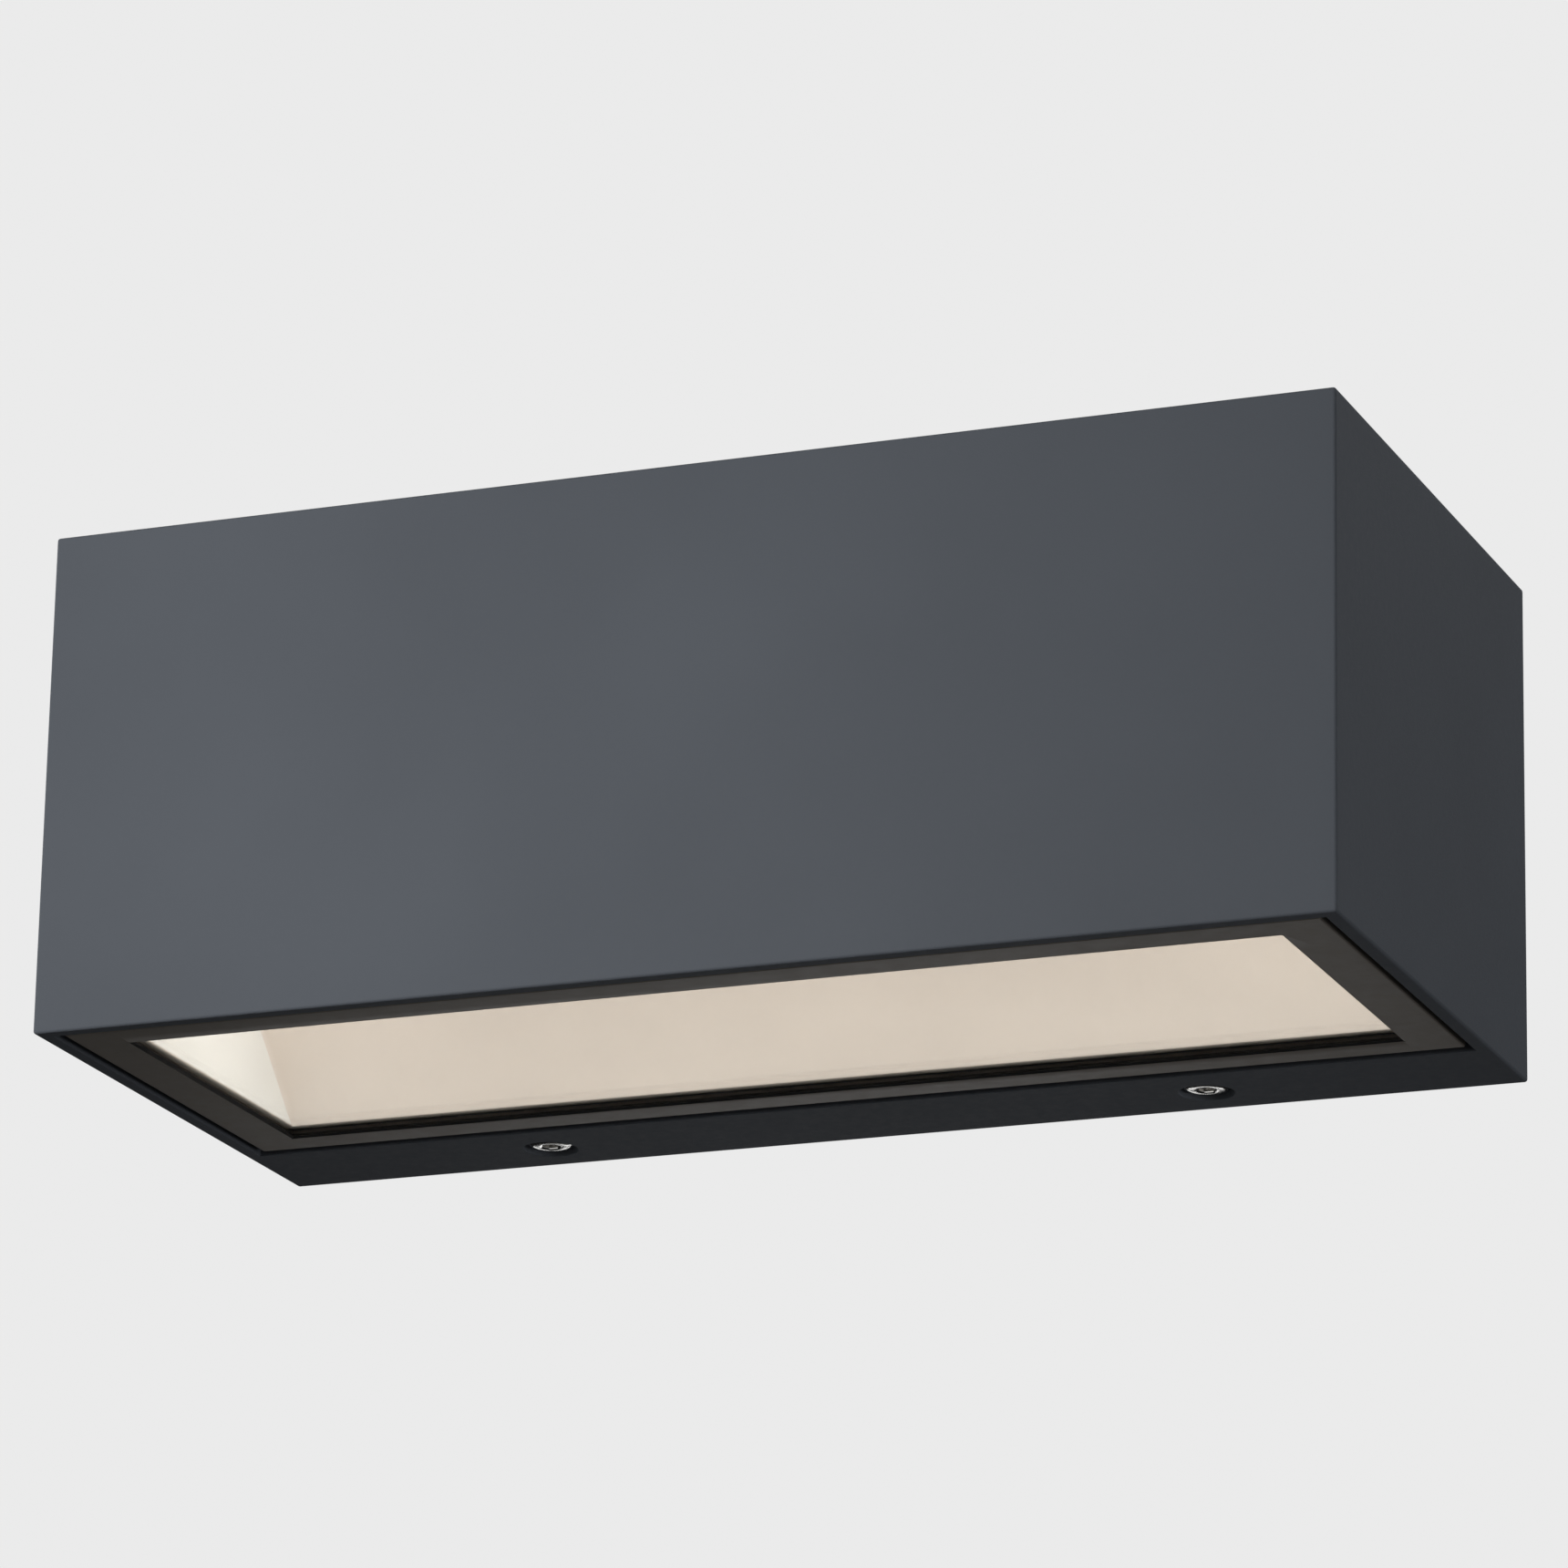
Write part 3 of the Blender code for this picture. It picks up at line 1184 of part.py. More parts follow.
def bracket_earth():
    """The bracket's earth screw with its washer."""
    low = BRACKET_THICKNESS + SEAT_GAP
    high = low + EARTH_WASHER_THICKNESS
    inner = EARTH_SHANK_RADIUS + SEAT_GAP
    profile = (
        (inner, high),
        (EARTH_WASHER_RADIUS, high),
        (EARTH_WASHER_RADIUS, low),
        (inner, low),
    )
    spot = (EARTH_SCREW_X, 0, EARTH_SCREW_Z)
    washer = turned("bracket_earth_washer", profile, spot, -BACK, HOLE_SIDES, closed=True)
    finish(washer, "brass")
    seat = (EARTH_SCREW_X, -high - SEAT_GAP, EARTH_SCREW_Z)
    return earth_screw("bracket_earth_screw", seat, -BACK, EARTH_WASHER_THICKNESS + BRACKET_THICKNESS)


def fixing_screw(side, x):
    """A button head screw whose tip bears on the bracket's bottom flange, and its sealing washer."""
    head = FIXING_HEAD_HEIGHT
    crown = FIXING_HEAD_CROWN
    radius = FIXING_HEAD_RADIUS
    shank = FIXING_SHANK_RADIUS
    profile = (
        (0, head),
        (radius - 2 * crown, head),
        (radius - crown, head - crown / 2),
        (radius, head - 2 * crown),
        (radius, 0),
        (shank, 0),
        (shank, -FIXING_SHANK_LENGTH + crown / 2),
        (shank - crown / 2, -FIXING_SHANK_LENGTH),
        (0, -FIXING_SHANK_LENGTH),
    )
    seat = Vector((x, FIXING_Y, FIXING_HEAD_SEAT))
    bolt = turned(f"fixing_screw_{side}", profile, seat, DOWN, FIXING_SIDES)
    socket_top = seat + DOWN * (head + OVERRUN)
    socket_floor = seat + DOWN * (head - FIXING_SOCKET_DEPTH)
    cut(bolt, rod(f"socket_{side}", FIXING_SOCKET_RADIUS, socket_floor, socket_top, HEX_SIDES))
    finish(bolt, "stainless_steel")

    inner = shank + FIXING_WASHER_MARGIN
    outer = radius - FIXING_WASHER_MARGIN
    low = -FIXING_WASHER_THICKNESS
    ring = ((inner, 0), (outer, 0), (outer, low), (inner, low))
    top = (x, FIXING_Y, FIXING_WASHER_TOP)
    washer = turned(f"sealing_washer_{side}", ring, top, UP, FIXING_SIDES, closed=True)
    return finish(washer, "black_silicone")


def hang_on_empties():
    """Parents each piece to the empty of what it moves with: the bracket, or the luminaire that lifts
    off forwards. A fixing screw and its washer have their own origins on the screw's axis."""
    bodies = {name: bpy.data.objects.new(name, None) for name in ("bracket_body", "luminaire_body")}
    on_the_wall = [name for name in PIECES.objects.keys() if name.startswith(BRACKET_NAMES)]
    for thing in list(PIECES.objects):
        thing.parent = bodies["bracket_body" if thing.name in on_the_wall else "luminaire_body"]
    for body in bodies.values():
        PIECES.objects.link(body)


BRACKET_NAMES = ("wall_bracket", "bracket_")

clear_scene()
PIECES = new_collection("wall_light")
CUTTERS = new_collection("cutters")
MADE_FINISHES = {}

housing()
lens_bezel()
glass_gasket()
glass_pane()
reflector()
led_board()
heat_spreader()
led_driver()
rear_cover()
cover_gasket()
terminal_block()
lead_grommet()
mains_lead("lead_live", POLE_PITCH / 2, LIVE_Z, "brown_sleeve")
mains_lead("lead_neutral", -POLE_PITCH / 2, NEUTRAL_Z, "blue_sleeve")
earth_lead()
led_lead("lead_led_plus", 1, "red_sleeve")
led_lead("lead_led_minus", -1, "black_sleeve")
earth_tag()
wall_bracket()
bracket_grommet()
bracket_earth()
fixing_screw("left", -FIXING_X)
fixing_screw("right", FIXING_X)
hang_on_empties()
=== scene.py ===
"""Looks of the outdoor box wall light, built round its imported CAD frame.

Metres, in the frame's own axes: +X to the right seen from the front, -Y out of the wall and +Z up,
with the wall's face at y = 0. Each new piece stands exactly where its CAD node stands.
"""

import json
import math

import bmesh
import bpy
import numpy as np
from mathutils import Matrix, Vector


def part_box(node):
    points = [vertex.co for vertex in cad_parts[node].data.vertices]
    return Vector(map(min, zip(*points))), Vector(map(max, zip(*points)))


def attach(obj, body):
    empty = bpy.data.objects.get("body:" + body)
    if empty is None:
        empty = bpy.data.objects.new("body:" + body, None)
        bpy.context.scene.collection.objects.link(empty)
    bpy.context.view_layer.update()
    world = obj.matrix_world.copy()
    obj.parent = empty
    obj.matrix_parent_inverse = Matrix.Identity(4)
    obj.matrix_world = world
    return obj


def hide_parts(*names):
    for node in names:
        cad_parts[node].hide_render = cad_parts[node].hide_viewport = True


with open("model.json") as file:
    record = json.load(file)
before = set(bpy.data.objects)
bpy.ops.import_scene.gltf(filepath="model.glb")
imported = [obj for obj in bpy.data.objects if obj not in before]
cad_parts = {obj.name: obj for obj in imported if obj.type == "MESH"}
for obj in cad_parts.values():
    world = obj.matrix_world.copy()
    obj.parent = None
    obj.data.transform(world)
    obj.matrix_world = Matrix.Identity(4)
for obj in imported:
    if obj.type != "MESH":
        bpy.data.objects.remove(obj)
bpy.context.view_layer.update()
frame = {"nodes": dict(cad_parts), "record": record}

BODY_OF = {
    node: body
    for body, members in frame["record"]["behaviour"]["bodies"].items()
    for node in members
}
SLOT_OF = {part["node"]: part["material_slot"] for part in frame["record"]["subparts"]}

X, Y, Z = 0, 1, 2
TINY = 0.000001

# Angles past which an edge counts as a corner, in degrees
BOX_CREASE = 35
BEND_CREASE = 50
TURNED_CREASE = 38
EASED_CREASE = 40

# Housing
EDGE_RADIUS = 0.0006
INNER_EDGE = 0.00012
INNER_RIGHT = 0.127
INNER_FRONT = -0.117
INNER_TOP = 0.047
RAIL_FRONT = -0.025
RAIL_TOP = -0.046
PARTITION_FRONT = -0.026
PARTITION_REAR = -0.023
OPENING_RIGHT = 0.100
OPENING_LOW = -0.030
OPENING_TOP = 0.036
POST_X = 0.1215
POST_YS = (-0.111, -0.036)
POST_FOOT = 0.0126
POST_HOLE_TOP = 0.0233
POST_RADIUS = 0.004
LUG_INNER = 0.1196
LUG_LOW = -0.0425
LUG_TOP = -0.0400
LUG_YS = (-0.103, -0.0385)
LUG_HALF = 0.0045
POST_PATCH = 0.0045
SCREW_HOLE = 0.0016
SCREW_PATCH = 0.003
COVER_SCREW_X = 0.104
COVER_SCREW_ZS = (-0.034, 0.040)

# Fixing screws and the rail round them
FIXING_X = 0.069
FIXING_Y = -0.0123
COUNTERBORE_RADIUS = 0.0055
COUNTERBORE_TOP = -0.0454
RAIL_HOLE_RADIUS = 0.0028
RAIL_BOSS_RADIUS = 0.006
RAIL_BOSS_TOP = -0.039
RAIL_PATCH = 0.0075

# Bezel, pane and reflector
WINDOW_RIGHT = 0.1157
WINDOW_FRONT = -0.1075
WINDOW_REAR = -0.034
WINDOW_EDGE = 0.00025
SEAT_RIGHT = 0.1195
SEAT_FRONT = -0.1113
SEAT_REAR = -0.0302
SEAT_FLOOR = -0.0486
RIM_THICKNESS = 0.001
RIM_TOP = -0.0443
BEZEL_TOP = -0.0466
BEZEL_EDGE = 0.0004
BEZEL_BOSS_X = 0.1231
BEZEL_BOSS_TOP = -0.0428
BEZEL_BOSS_RADIUS = 0.0024
PANE_OVERLAP = 0.002
PANE_EDGE = 0.0002
GASKET_GAP = 0.0003
GASKET_EDGE = 0.0003
CHAMBER_LOW = -0.0440
CHAMBER_TOP = 0.0059
CHAMBER_ROOF_REAR = -0.086
SHEET = 0.0012
SHEET_CORNER = 0.0012
FOOT_BEND = 0.0008
ROOF_BEND = 0.0012
SLOT_RIGHT = 0.100
SLOT_Y = -0.09675
SLOT_HALF = 0.006

# Screws: head radius, shank radius and head height
SMALL_SCREW = (0.0025, 0.0013, 0.0016)
EARTH_SCREW = (0.0035, 0.0018, 0.0024)

# Bracket
BRACKET_SHEET = 0.002
BRACKET_BEND_OUTER = 0.0025
BRACKET_BEND_INNER = 0.0005
BRACKET_EDGE = 0.0002
CABLE_Z = -0.0155
EARTH_X, EARTH_Z = -0.045, -0.0179

# The plain pieces, and how wide their corners are eased
EASED = {
    "rear_cover": 0.0003,
    "cover_gasket": 0.0002,
    "terminal_block": 0.0003,
    "earth_tag": 0.00015,
    "heat_spreader": 0.0003,
    "led_board": 0.0002,
    "led_driver": 0.0,
    "lead_grommet": 0.0003,
    "lead_live": 0.0,
    "lead_neutral": 0.0,
    "lead_earth": 0.0,
    "lead_led_plus": 0.0,
    "lead_led_minus": 0.0,
    "bracket_earth_washer": 0.0001,
    "sealing_washer_left": 0.0001,
    "sealing_washer_right": 0.0001,
}

# Studio
BACKGROUND = 0.83
# What the floor's own paint adds to the background's tone
FLOOR_SHARE = 0.04
CENTRE = (0, -0.06, 0)
CAMERA_LENS = 180.91
CAMERA_PLACE = (0.542548, -1.404373, -0.457901)
CAMERA_FORWARD = (-0.35713, 0.88312, 0.30422)
CAMERA_UP = (0.09557, -0.28945, 0.95241)


def body_of_boxes(steps, extra=((), (), ())):
    """The skin of a body made of boxes, with square corners.

    Each step is (solid or hollow, lowest corner, highest corner), and a later step overrules an
    earlier one. The corners' coordinates, with the extra ones, are the lines of a grid of cells.
    Where a solid cell meets a hollow one, their rectangle becomes a face towards the hollow side.
    """
    lines = []
    for axis in range(3):
        values = [corner[axis] for step in steps for corner in step[1:]]
        lines.append(np.unique(np.round(values + list(extra[axis]), 7)))
    middles = [(line[1:] + line[:-1]) / 2 for line in lines]
    centres = np.stack(np.meshgrid(*middles, indexing="ij"), -1)
    solid = np.zeros(centres.shape[:3], bool)
    for fills, low, high in steps:
        solid[np.all((centres > low) & (centres < high), axis=-1)] = fills
    points = np.stack(np.meshgrid(*lines, indexing="ij"), -1).reshape(-1, 3)
    index = np.arange(len(points)).reshape([len(line) for line in lines])
    quads = []
    for axis in range(3):
        order = (axis, (axis + 1) % 3, (axis + 2) % 3)
        corner = index.transpose(order)
        padded = np.pad(solid.transpose(order).astype(int), ((1, 1), (0, 0), (0, 0)))
        change = np.diff(padded, axis=0)
        for side in (1, -1):
            i, j, k = np.nonzero(change == -side)
            steps_round = ((0, 0), (1, 0), (1, 1), (0, 1))
            ring = [corner[i, j + dj, k + dk] for dj, dk in steps_round]
            quads.append(np.stack(ring[::side], 1))
    return {"points": points, "quads": np.concatenate(quads), "triangles": np.empty((0, 3), int)}


def rings_round(axis, middle, rows, sides=48, stretch=(0, 0)):
    """Rings of points round a line along an axis: one ring for each (radius, level) row.

    A point lies at the radius times the cosine and the sine of its angle on the two other axes. A
    stretch moves the halves of a ring apart, which makes it round-ended.
    """
    turn = -math.pi + (np.arange(sides) + 0.5) * math.tau / sides
    radius, level = np.array(rows, float).T[:, :, None]
    rings = np.zeros((len(rows), sides, 3))
    b, c = (axis + 1) % 3, (axis + 2) % 3
    rings[..., axis] = level
    rings[..., b] = middle[b] + radius * np.cos(turn) + stretch[0] * np.sign(np.cos(turn))
    rings[..., c] = middle[c] + radius * np.sin(turn) + stretch[1] * np.sign(np.sin(turn))
    return rings


def open_mouth(skin, axis, side, level, low, high, ring, middle):
    """Takes a rectangle out of a flat face and fills the room between its rim and a ring.

    Rim and ring are walked round together by angle, and each step makes one triangle.
    """
    points, quads = skin["points"], skin["quads"]
    b, c = (axis + 1) % 3, (axis + 2) % 3
    low = np.array((low[b], low[c]))
    high = np.array((high[b], high[c]))
    corners = points[quads]
    flat = np.all(np.abs(corners[:, :, axis] - level) < TINY, axis=1)
    centre = corners.mean(1)[:, [b, c]]
    inside = flat & np.all((centre > low) & (centre < high), axis=1)
    taken = np.unique(quads[inside])
    spots = points[taken][:, [b, c]]
    on_rim = np.any((np.abs(spots - low) < TINY) | (np.abs(spots - high) < TINY), axis=1)

    def angles(ids):
        spot = points[ids]
        turn = np.arctan2(spot[:, c] - middle[c], spot[:, b] - middle[b])
        return np.where(turn > math.pi - TINY, turn - math.tau, turn)

    def halfway(turn):
        return (turn + np.append(turn[1:], turn[0] + math.tau)) / 2

    rim = taken[on_rim]
    rim = rim[np.argsort(angles(rim))]
    rim_turn = halfway(angles(rim))
    ring_turn = halfway(angles(ring))
    rim_next, ring_next = np.roll(rim, -1), np.roll(ring, -1)
    at_rim = rim[np.searchsorted(rim_turn, ring_turn, "left") % len(rim)]
    at_ring = ring[np.searchsorted(ring_turn, rim_turn, "right") % len(ring)]
    from_ring = np.stack((ring_next, ring, at_rim), 1)
    from_rim = np.stack((rim, rim_next, at_ring), 1)
    fans = np.concatenate([from_ring, from_rim])
    skin["quads"] = quads[~inside]
    skin["triangles"] = np.concatenate([skin["triangles"], fans[:, ::side]])


def ring_walls(ids, flip=False):
    """The faces between neighbouring rings, each ring a row of ids."""
    after = np.roll(ids, -1, axis=1)
    walls = np.stack((ids[:-1], after[:-1], after[1:], ids[1:]), -1).reshape(-1, 4)
    return walls[:, [0, 3, 2, 1]] if flip else walls


def bore(skin, axis, middle, rows, high=None, low=None, sides=48, stretch=(0, 0)):
    """Carries rings from a face that looks along +axis to one that looks along -axis.

    `high` and `low` are the rectangles, as two corners, that the mouths take out of those faces. An
    end without one closes at a pole, which makes a blind hole or a free-standing boss.
    """
    rings = rings_round(axis, middle, rows, sides, stretch)
    first = len(skin["points"])
    ids = first + np.arange(rings[..., 0].size).reshape(rings.shape[:2])
    poles = rings[[0, -1]].mean(1)
    skin["points"] = np.concatenate([skin["points"], rings.reshape(-1, 3), poles])
    if high:
        open_mouth(skin, axis, 1, rows[0][1], *high, ids[0], middle)
    if low:
        open_mouth(skin, axis, -1, rows[-1][1], *low, ids[-1], middle)
    for closes, pole, start, end in (
        (not high, len(skin["points"]) - 2, np.roll(ids[0], -1), ids[0]),
        (not low, len(skin["points"]) - 1, ids[-1], np.roll(ids[-1], -1)),
    ):
        if closes:
            cap = np.stack((np.full(sides, pole), start, end), 1)
            skin["triangles"] = np.concatenate([skin["triangles"], cap])
    skin["quads"] = np.concatenate([skin["quads"], ring_walls(ids)])


def new_mesh(name, points, *blocks):
    """A mesh of points and blocks of faces, each block an array with one face a row."""
    corners = np.concatenate([block.ravel() for block in blocks])
    used, where = np.unique(corners, return_inverse=True)
    faces = []
    first = 0
    for block in blocks:
        faces += where[first : first + block.size].reshape(block.shape).tolist()
        first += block.size
    mesh = bpy.data.meshes.new(name)
    mesh.from_pydata(points[used].tolist(), [], faces)
    mesh.shade_smooth()
    return mesh


def of_mesh(items, field, kind, width=1):
    """One field of all a mesh's items, as an array."""
    values = np.empty(len(items) * width, kind)
    items.foreach_get(field, values)
    return values.reshape(-1, width) if width > 1 else values


def merge_doubles(mesh, flatten=False):
    """Merges doubled corners, and on request the triangles of one flat face."""
    shape = bmesh.new()
    shape.from_mesh(mesh)
    bmesh.ops.remove_doubles(shape, verts=shape.verts, dist=TINY)
    if flatten:
        bmesh.ops.dissolve_limit(
            shape,
            angle_limit=math.radians(1),
            verts=shape.verts,
            edges=shape.edges,
            use_dissolve_boundaries=False,
        )
    shape.to_mesh(mesh)
    shape.free()


def smooth_between(mesh, crease):
    """Smooth shading, with a sharp edge wherever two faces meet at more than the crease."""
    mesh.shade_smooth()
    mesh.set_sharp_from_angle(angle=math.radians(crease))


def corner_edges(mesh, degrees=BOX_CREASE):
    """Which edges turn a corner: the normals of their two faces differ by more than the angle."""
    edge_of = of_mesh(mesh.loops, "edge_index", np.int64)
    owner = np.repeat(np.arange(len(mesh.polygons)), of_mesh(mesh.polygons, "loop_total", np.int64))
    normals = of_mesh(mesh.polygons, "normal", float, 3)
    pairs = owner[np.argsort(edge_of, kind="stable")].reshape(-1, 2)
    return (normals[pairs[:, 0]] * normals[pairs[:, 1]]).sum(1) < math.cos(math.radians(degrees))


def box_edges(mesh, low, high):
    """Which edges lie where two outer sides of a box meet."""
    spots = of_mesh(mesh.vertices, "co", float, 3)
    sides = np.concatenate([np.abs(spots - low) < TINY, np.abs(spots - high) < TINY], axis=1)
    ends = sides[of_mesh(mesh.edges, "vertices", np.int64, 2)]
    return (ends[:, 0] & ends[:, 1]).sum(1) == 2


def rounded_edges(thing, widths, segments):
    """Rounds each edge by its own width, and keeps the corners that get none sharp."""
    mesh = thing.data
    widest = float(widths.max())
    weight = mesh.attributes.new("bevel_weight_edge", "FLOAT", "EDGE")
    weight.data.foreach_set("value", widths / widest)
    sharp = mesh.attributes.new("sharp_edge", "BOOLEAN", "EDGE")
    sharp.data.foreach_set("value", corner_edges(mesh) & (widths == 0))
    edge = thing.modifiers.new("edge", "BEVEL")
    edge.width = widest
    edge.segments = segments
    edge.limit_method = "WEIGHT"
    edge.use_clamp_overlap = False
    edge.miter_outer = "MITER_ARC" if segments > 2 else "MITER_SHARP"
    shading = thing.modifiers.new("shading", "WEIGHTED_NORMAL")
    shading.keep_sharp = True
    return thing


def new_piece(name, mesh, *nodes):
    """A piece that stands for CAD nodes: it rides on their body and takes their material slot."""
    thing = bpy.data.objects.new(name, mesh)
    bpy.context.scene.collection.objects.link(thing)
    slot = SLOT_OF[nodes[0]]
    mesh.materials.append(FINISH[slot])
    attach(thing, BODY_OF[nodes[0]])
    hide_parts(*nodes)
    return thing


def boxes_piece(name, node, skin, widths_of, segments):
    """A piece from a skin of boxes and bores, with its edges rounded."""
    mesh = new_mesh(name, skin["points"], skin["quads"], skin["triangles"])
    thing = new_piece(name, mesh, node)
    return rounded_edges(thing, widths_of(mesh), segments)


# Finishes


class Finish:
    """A Principled material, with patterns on the piece's own coordinates."""

    def __init__(self, name, colour, roughness, metallic=0.0, specular=0.5):
        self.material = bpy.data.materials.new(name)
        self.material.use_nodes = True
        self.nodes = self.material.node_tree.nodes
        self.links = self.material.node_tree.links
        self.shader = self.nodes["Principled BSDF"]
        self.shader.inputs["Base Color"].default_value = (*colour, 1)
        self.shader.inputs["Roughness"].default_value = roughness
        self.shader.inputs["Metallic"].default_value = metallic
        self.shader.inputs["Specular IOR Level"].default_value = specular
        self.material.diffuse_color = (*colour, 1)
        self.colour = np.array(colour)
        self.where = self.nodes.new("ShaderNodeTexCoord").outputs["Object"]

    def new(self, kind, **settings):
        node = self.nodes.new("ShaderNode" + kind)
        for key, value in settings.items():
            setattr(node, key, value)
        return node

    def placed(self, scale=(1, 1, 1)):
        spot = self.new("Mapping")
        spot.inputs["Scale"].default_value = scale
        self.links.new(self.where, spot.inputs["Vector"])
        return spot.outputs["Vector"]

    def noise(self, scale, detail=3, stretch=(1, 1, 1)):
        cloud = self.new("TexNoise")
        cloud.inputs["Scale"].default_value = scale
        cloud.inputs["Detail"].default_value = detail
        self.links.new(self.placed(stretch), cloud.inputs["Vector"])
        return cloud.outputs["Fac"]

    def spangle(self, scale):
        cells = self.new("TexVoronoi")
        cells.inputs["Scale"].default_value = scale
        self.links.new(self.placed(), cells.inputs["Vector"])
        return cells.outputs["Color"]

    def ranged(self, value, low, high):
        """The middle part of a pattern's values, spread from low to high."""
        span = self.new("MapRange")
        limits = {"From Min": 0.3, "From Max": 0.7, "To Min": low, "To Max": high}
        for key, number in limits.items():
            span.inputs[key].default_value = number
        self.links.new(value, span.inputs["Value"])
        return span.outputs["Result"]

    def tinted(self, pattern, amount):
        """The colour wanders by a share of itself, lighter and darker."""
        mix = self.new("Mix", data_type="RGBA")
        self.links.new(self.ranged(pattern, 0, 1), mix.inputs["Factor"])
        for name, share in (("A_Color", 1 - amount), ("B_Color", 1 + amount)):
            tone = np.minimum(self.colour * share, 1)
            socket = next(entry for entry in mix.inputs if entry.identifier == name)
            socket.default_value = (*tone, 1)
        mixed = next(entry for entry in mix.outputs if entry.identifier == "Result_Color")
        self.links.new(mixed, self.shader.inputs["Base Color"])
        return self

    def polished(self, pattern, low, high):
        self.links.new(self.ranged(pattern, low, high), self.shader.inputs["Roughness"])
        return self

    def grained(self, pattern, depth):
        """The pattern raises the surface by a depth in metres."""
        relief = self.new("Bump")
        relief.inputs["Distance"].default_value = depth
        relief.inputs["Strength"].default_value = 1.0
        self.links.new(pattern, relief.inputs["Height"])
        self.links.new(relief.outputs["Normal"], self.shader.inputs["Normal"])
        return self


def coat(name, colour, roughness, tint, patch, grain, depth, specular=0.5):
    """A sprayed and baked coat: slow changes of tone, and a fine grain from the spray."""
    finish = Finish(name, colour, roughness[0], specular=specular)
    finish.tinted(finish.noise(patch), tint)
    finish.polished(finish.noise(grain / 4), *roughness)
    return finish.grained(finish.noise(grain), depth)


def moulded(name, colour, roughness, grain=900, depth=0.00002, specular=0.5):
    """A moulded plastic or rubber: nearly even colour over a fine spark-eroded texture."""
    return coat(name, colour, roughness, 0.05, 60, grain, depth, specular)


def metal(name, colour, roughness, stretch, scale):
    """A bare metal with the fine lines of its rolling or turning."""
    finish = Finish(name, colour, roughness[0], metallic=1.0)
    lines = finish.noise(scale, 4, stretch)
    finish.tinted(finish.noise(scale / 12, 2), 0.05)
    finish.polished(lines, *roughness)
    return finish.grained(lines, 0.000004)


def galvanised():
    """Zinc on sheet steel, in grains of a few millimetres that each catch the light in their own
    way."""
    finish = Finish("galvanised_steel", (0.55, 0.56, 0.57), 0.4, metallic=1.0)
    grains = finish.spangle(260)
    finish.tinted(grains, 0.04)
    finish.polished(grains, 0.38, 0.46)
    return finish.grained(finish.noise(700), 0.00001)


def clear_glass():
    finish = Finish("clear_glass", (0.96, 0.985, 0.975), 0.0)
    finish.shader.inputs["Transmission Weight"].default_value = 1.0
    finish.shader.inputs["IOR"].default_value = 1.5
    return finish.tinted(finish.noise(30), 0.01)


def sleeve(name, colour):
    """The soft, slightly uneven gloss of a lead's insulation."""
    return coat(name, colour, (0.34, 0.5), 0.08, 90, 1200, 0.00001)


FINISHES = {
    "powder_coat": coat(
        "powder_coat", (0.080, 0.088, 0.101), (0.55, 0.65), 0.05, 14, 2600, 0.00003, 0.05
    ),
    "bezel_coat": coat(
        "bezel_coat", (0.200, 0.178, 0.155), (0.38, 0.46), 0.07, 30, 1500, 0.000008, 0.12
    ),
    "clear_glass": clear_glass(),
    "black_silicone": moulded("black_silicone", (0.008, 0.008, 0.008), (0.6, 0.75), specular=0.1),
    "cream_coat": coat("cream_coat", (0.80, 0.70, 0.617), (0.45, 0.55), 0.03, 25, 2200, 0.00001),
    "board_mask": moulded("board_mask", (0.82, 0.82, 0.79), (0.32, 0.42), 1400, 0.00001),
    "led_phosphor": moulded("led_phosphor", (0.86, 0.66, 0.12), (0.4, 0.55), 2500, 0.00002),
    "bare_aluminium": metal("bare_aluminium", (0.62, 0.63, 0.64), (0.34, 0.46), (1, 30, 30), 90),
    "driver_case": moulded("driver_case", (0.78, 0.78, 0.76), (0.42, 0.52)),
    "terminal_plastic": moulded("terminal_plastic", (0.70, 0.70, 0.67), (0.36, 0.46)),
    "galvanised_steel": galvanised(),
    "stainless_steel": metal("stainless_steel", (0.66, 0.65, 0.63), (0.12, 0.2), (1, 1, 12), 900),
    "zinc_steel": metal("zinc_steel", (0.60, 0.60, 0.60), (0.28, 0.42), (1, 1, 6), 900),
    "brass": metal("brass", (0.72, 0.55, 0.28), (0.22, 0.34), (1, 1, 6), 900),
    "grey_rubber": moulded("grey_rubber", (0.045, 0.045, 0.045), (0.65, 0.8)),
    "brown_sleeve": sleeve("brown_sleeve", (0.16, 0.07, 0.03)),
    "blue_sleeve": sleeve("blue_sleeve", (0.03, 0.12, 0.45)),
    "green_yellow_sleeve": sleeve("green_yellow_sleeve", (0.25, 0.50, 0.06)),
    "red_sleeve": sleeve("red_sleeve", (0.50, 0.03, 0.02)),
    "black_sleeve": sleeve("black_sleeve", (0.02, 0.02, 0.02)),
}
FINISH = {slot: finish.material for slot, finish in FINISHES.items()}
LED_FRAME = moulded("led_frame", (0.82, 0.82, 0.80), (0.4, 0.5)).material
# Painted light: a whiter copy of the reflector's cream coat for its end walls, which look brighter
# only for the light that falls on them.
END_WALL_PAINTED_LIGHT = coat("end_wall_painted_light", (0.88, 0.86, 0.82), (0.45, 0.55), 0.02, 25, 2200, 0.00001).material


# Pieces


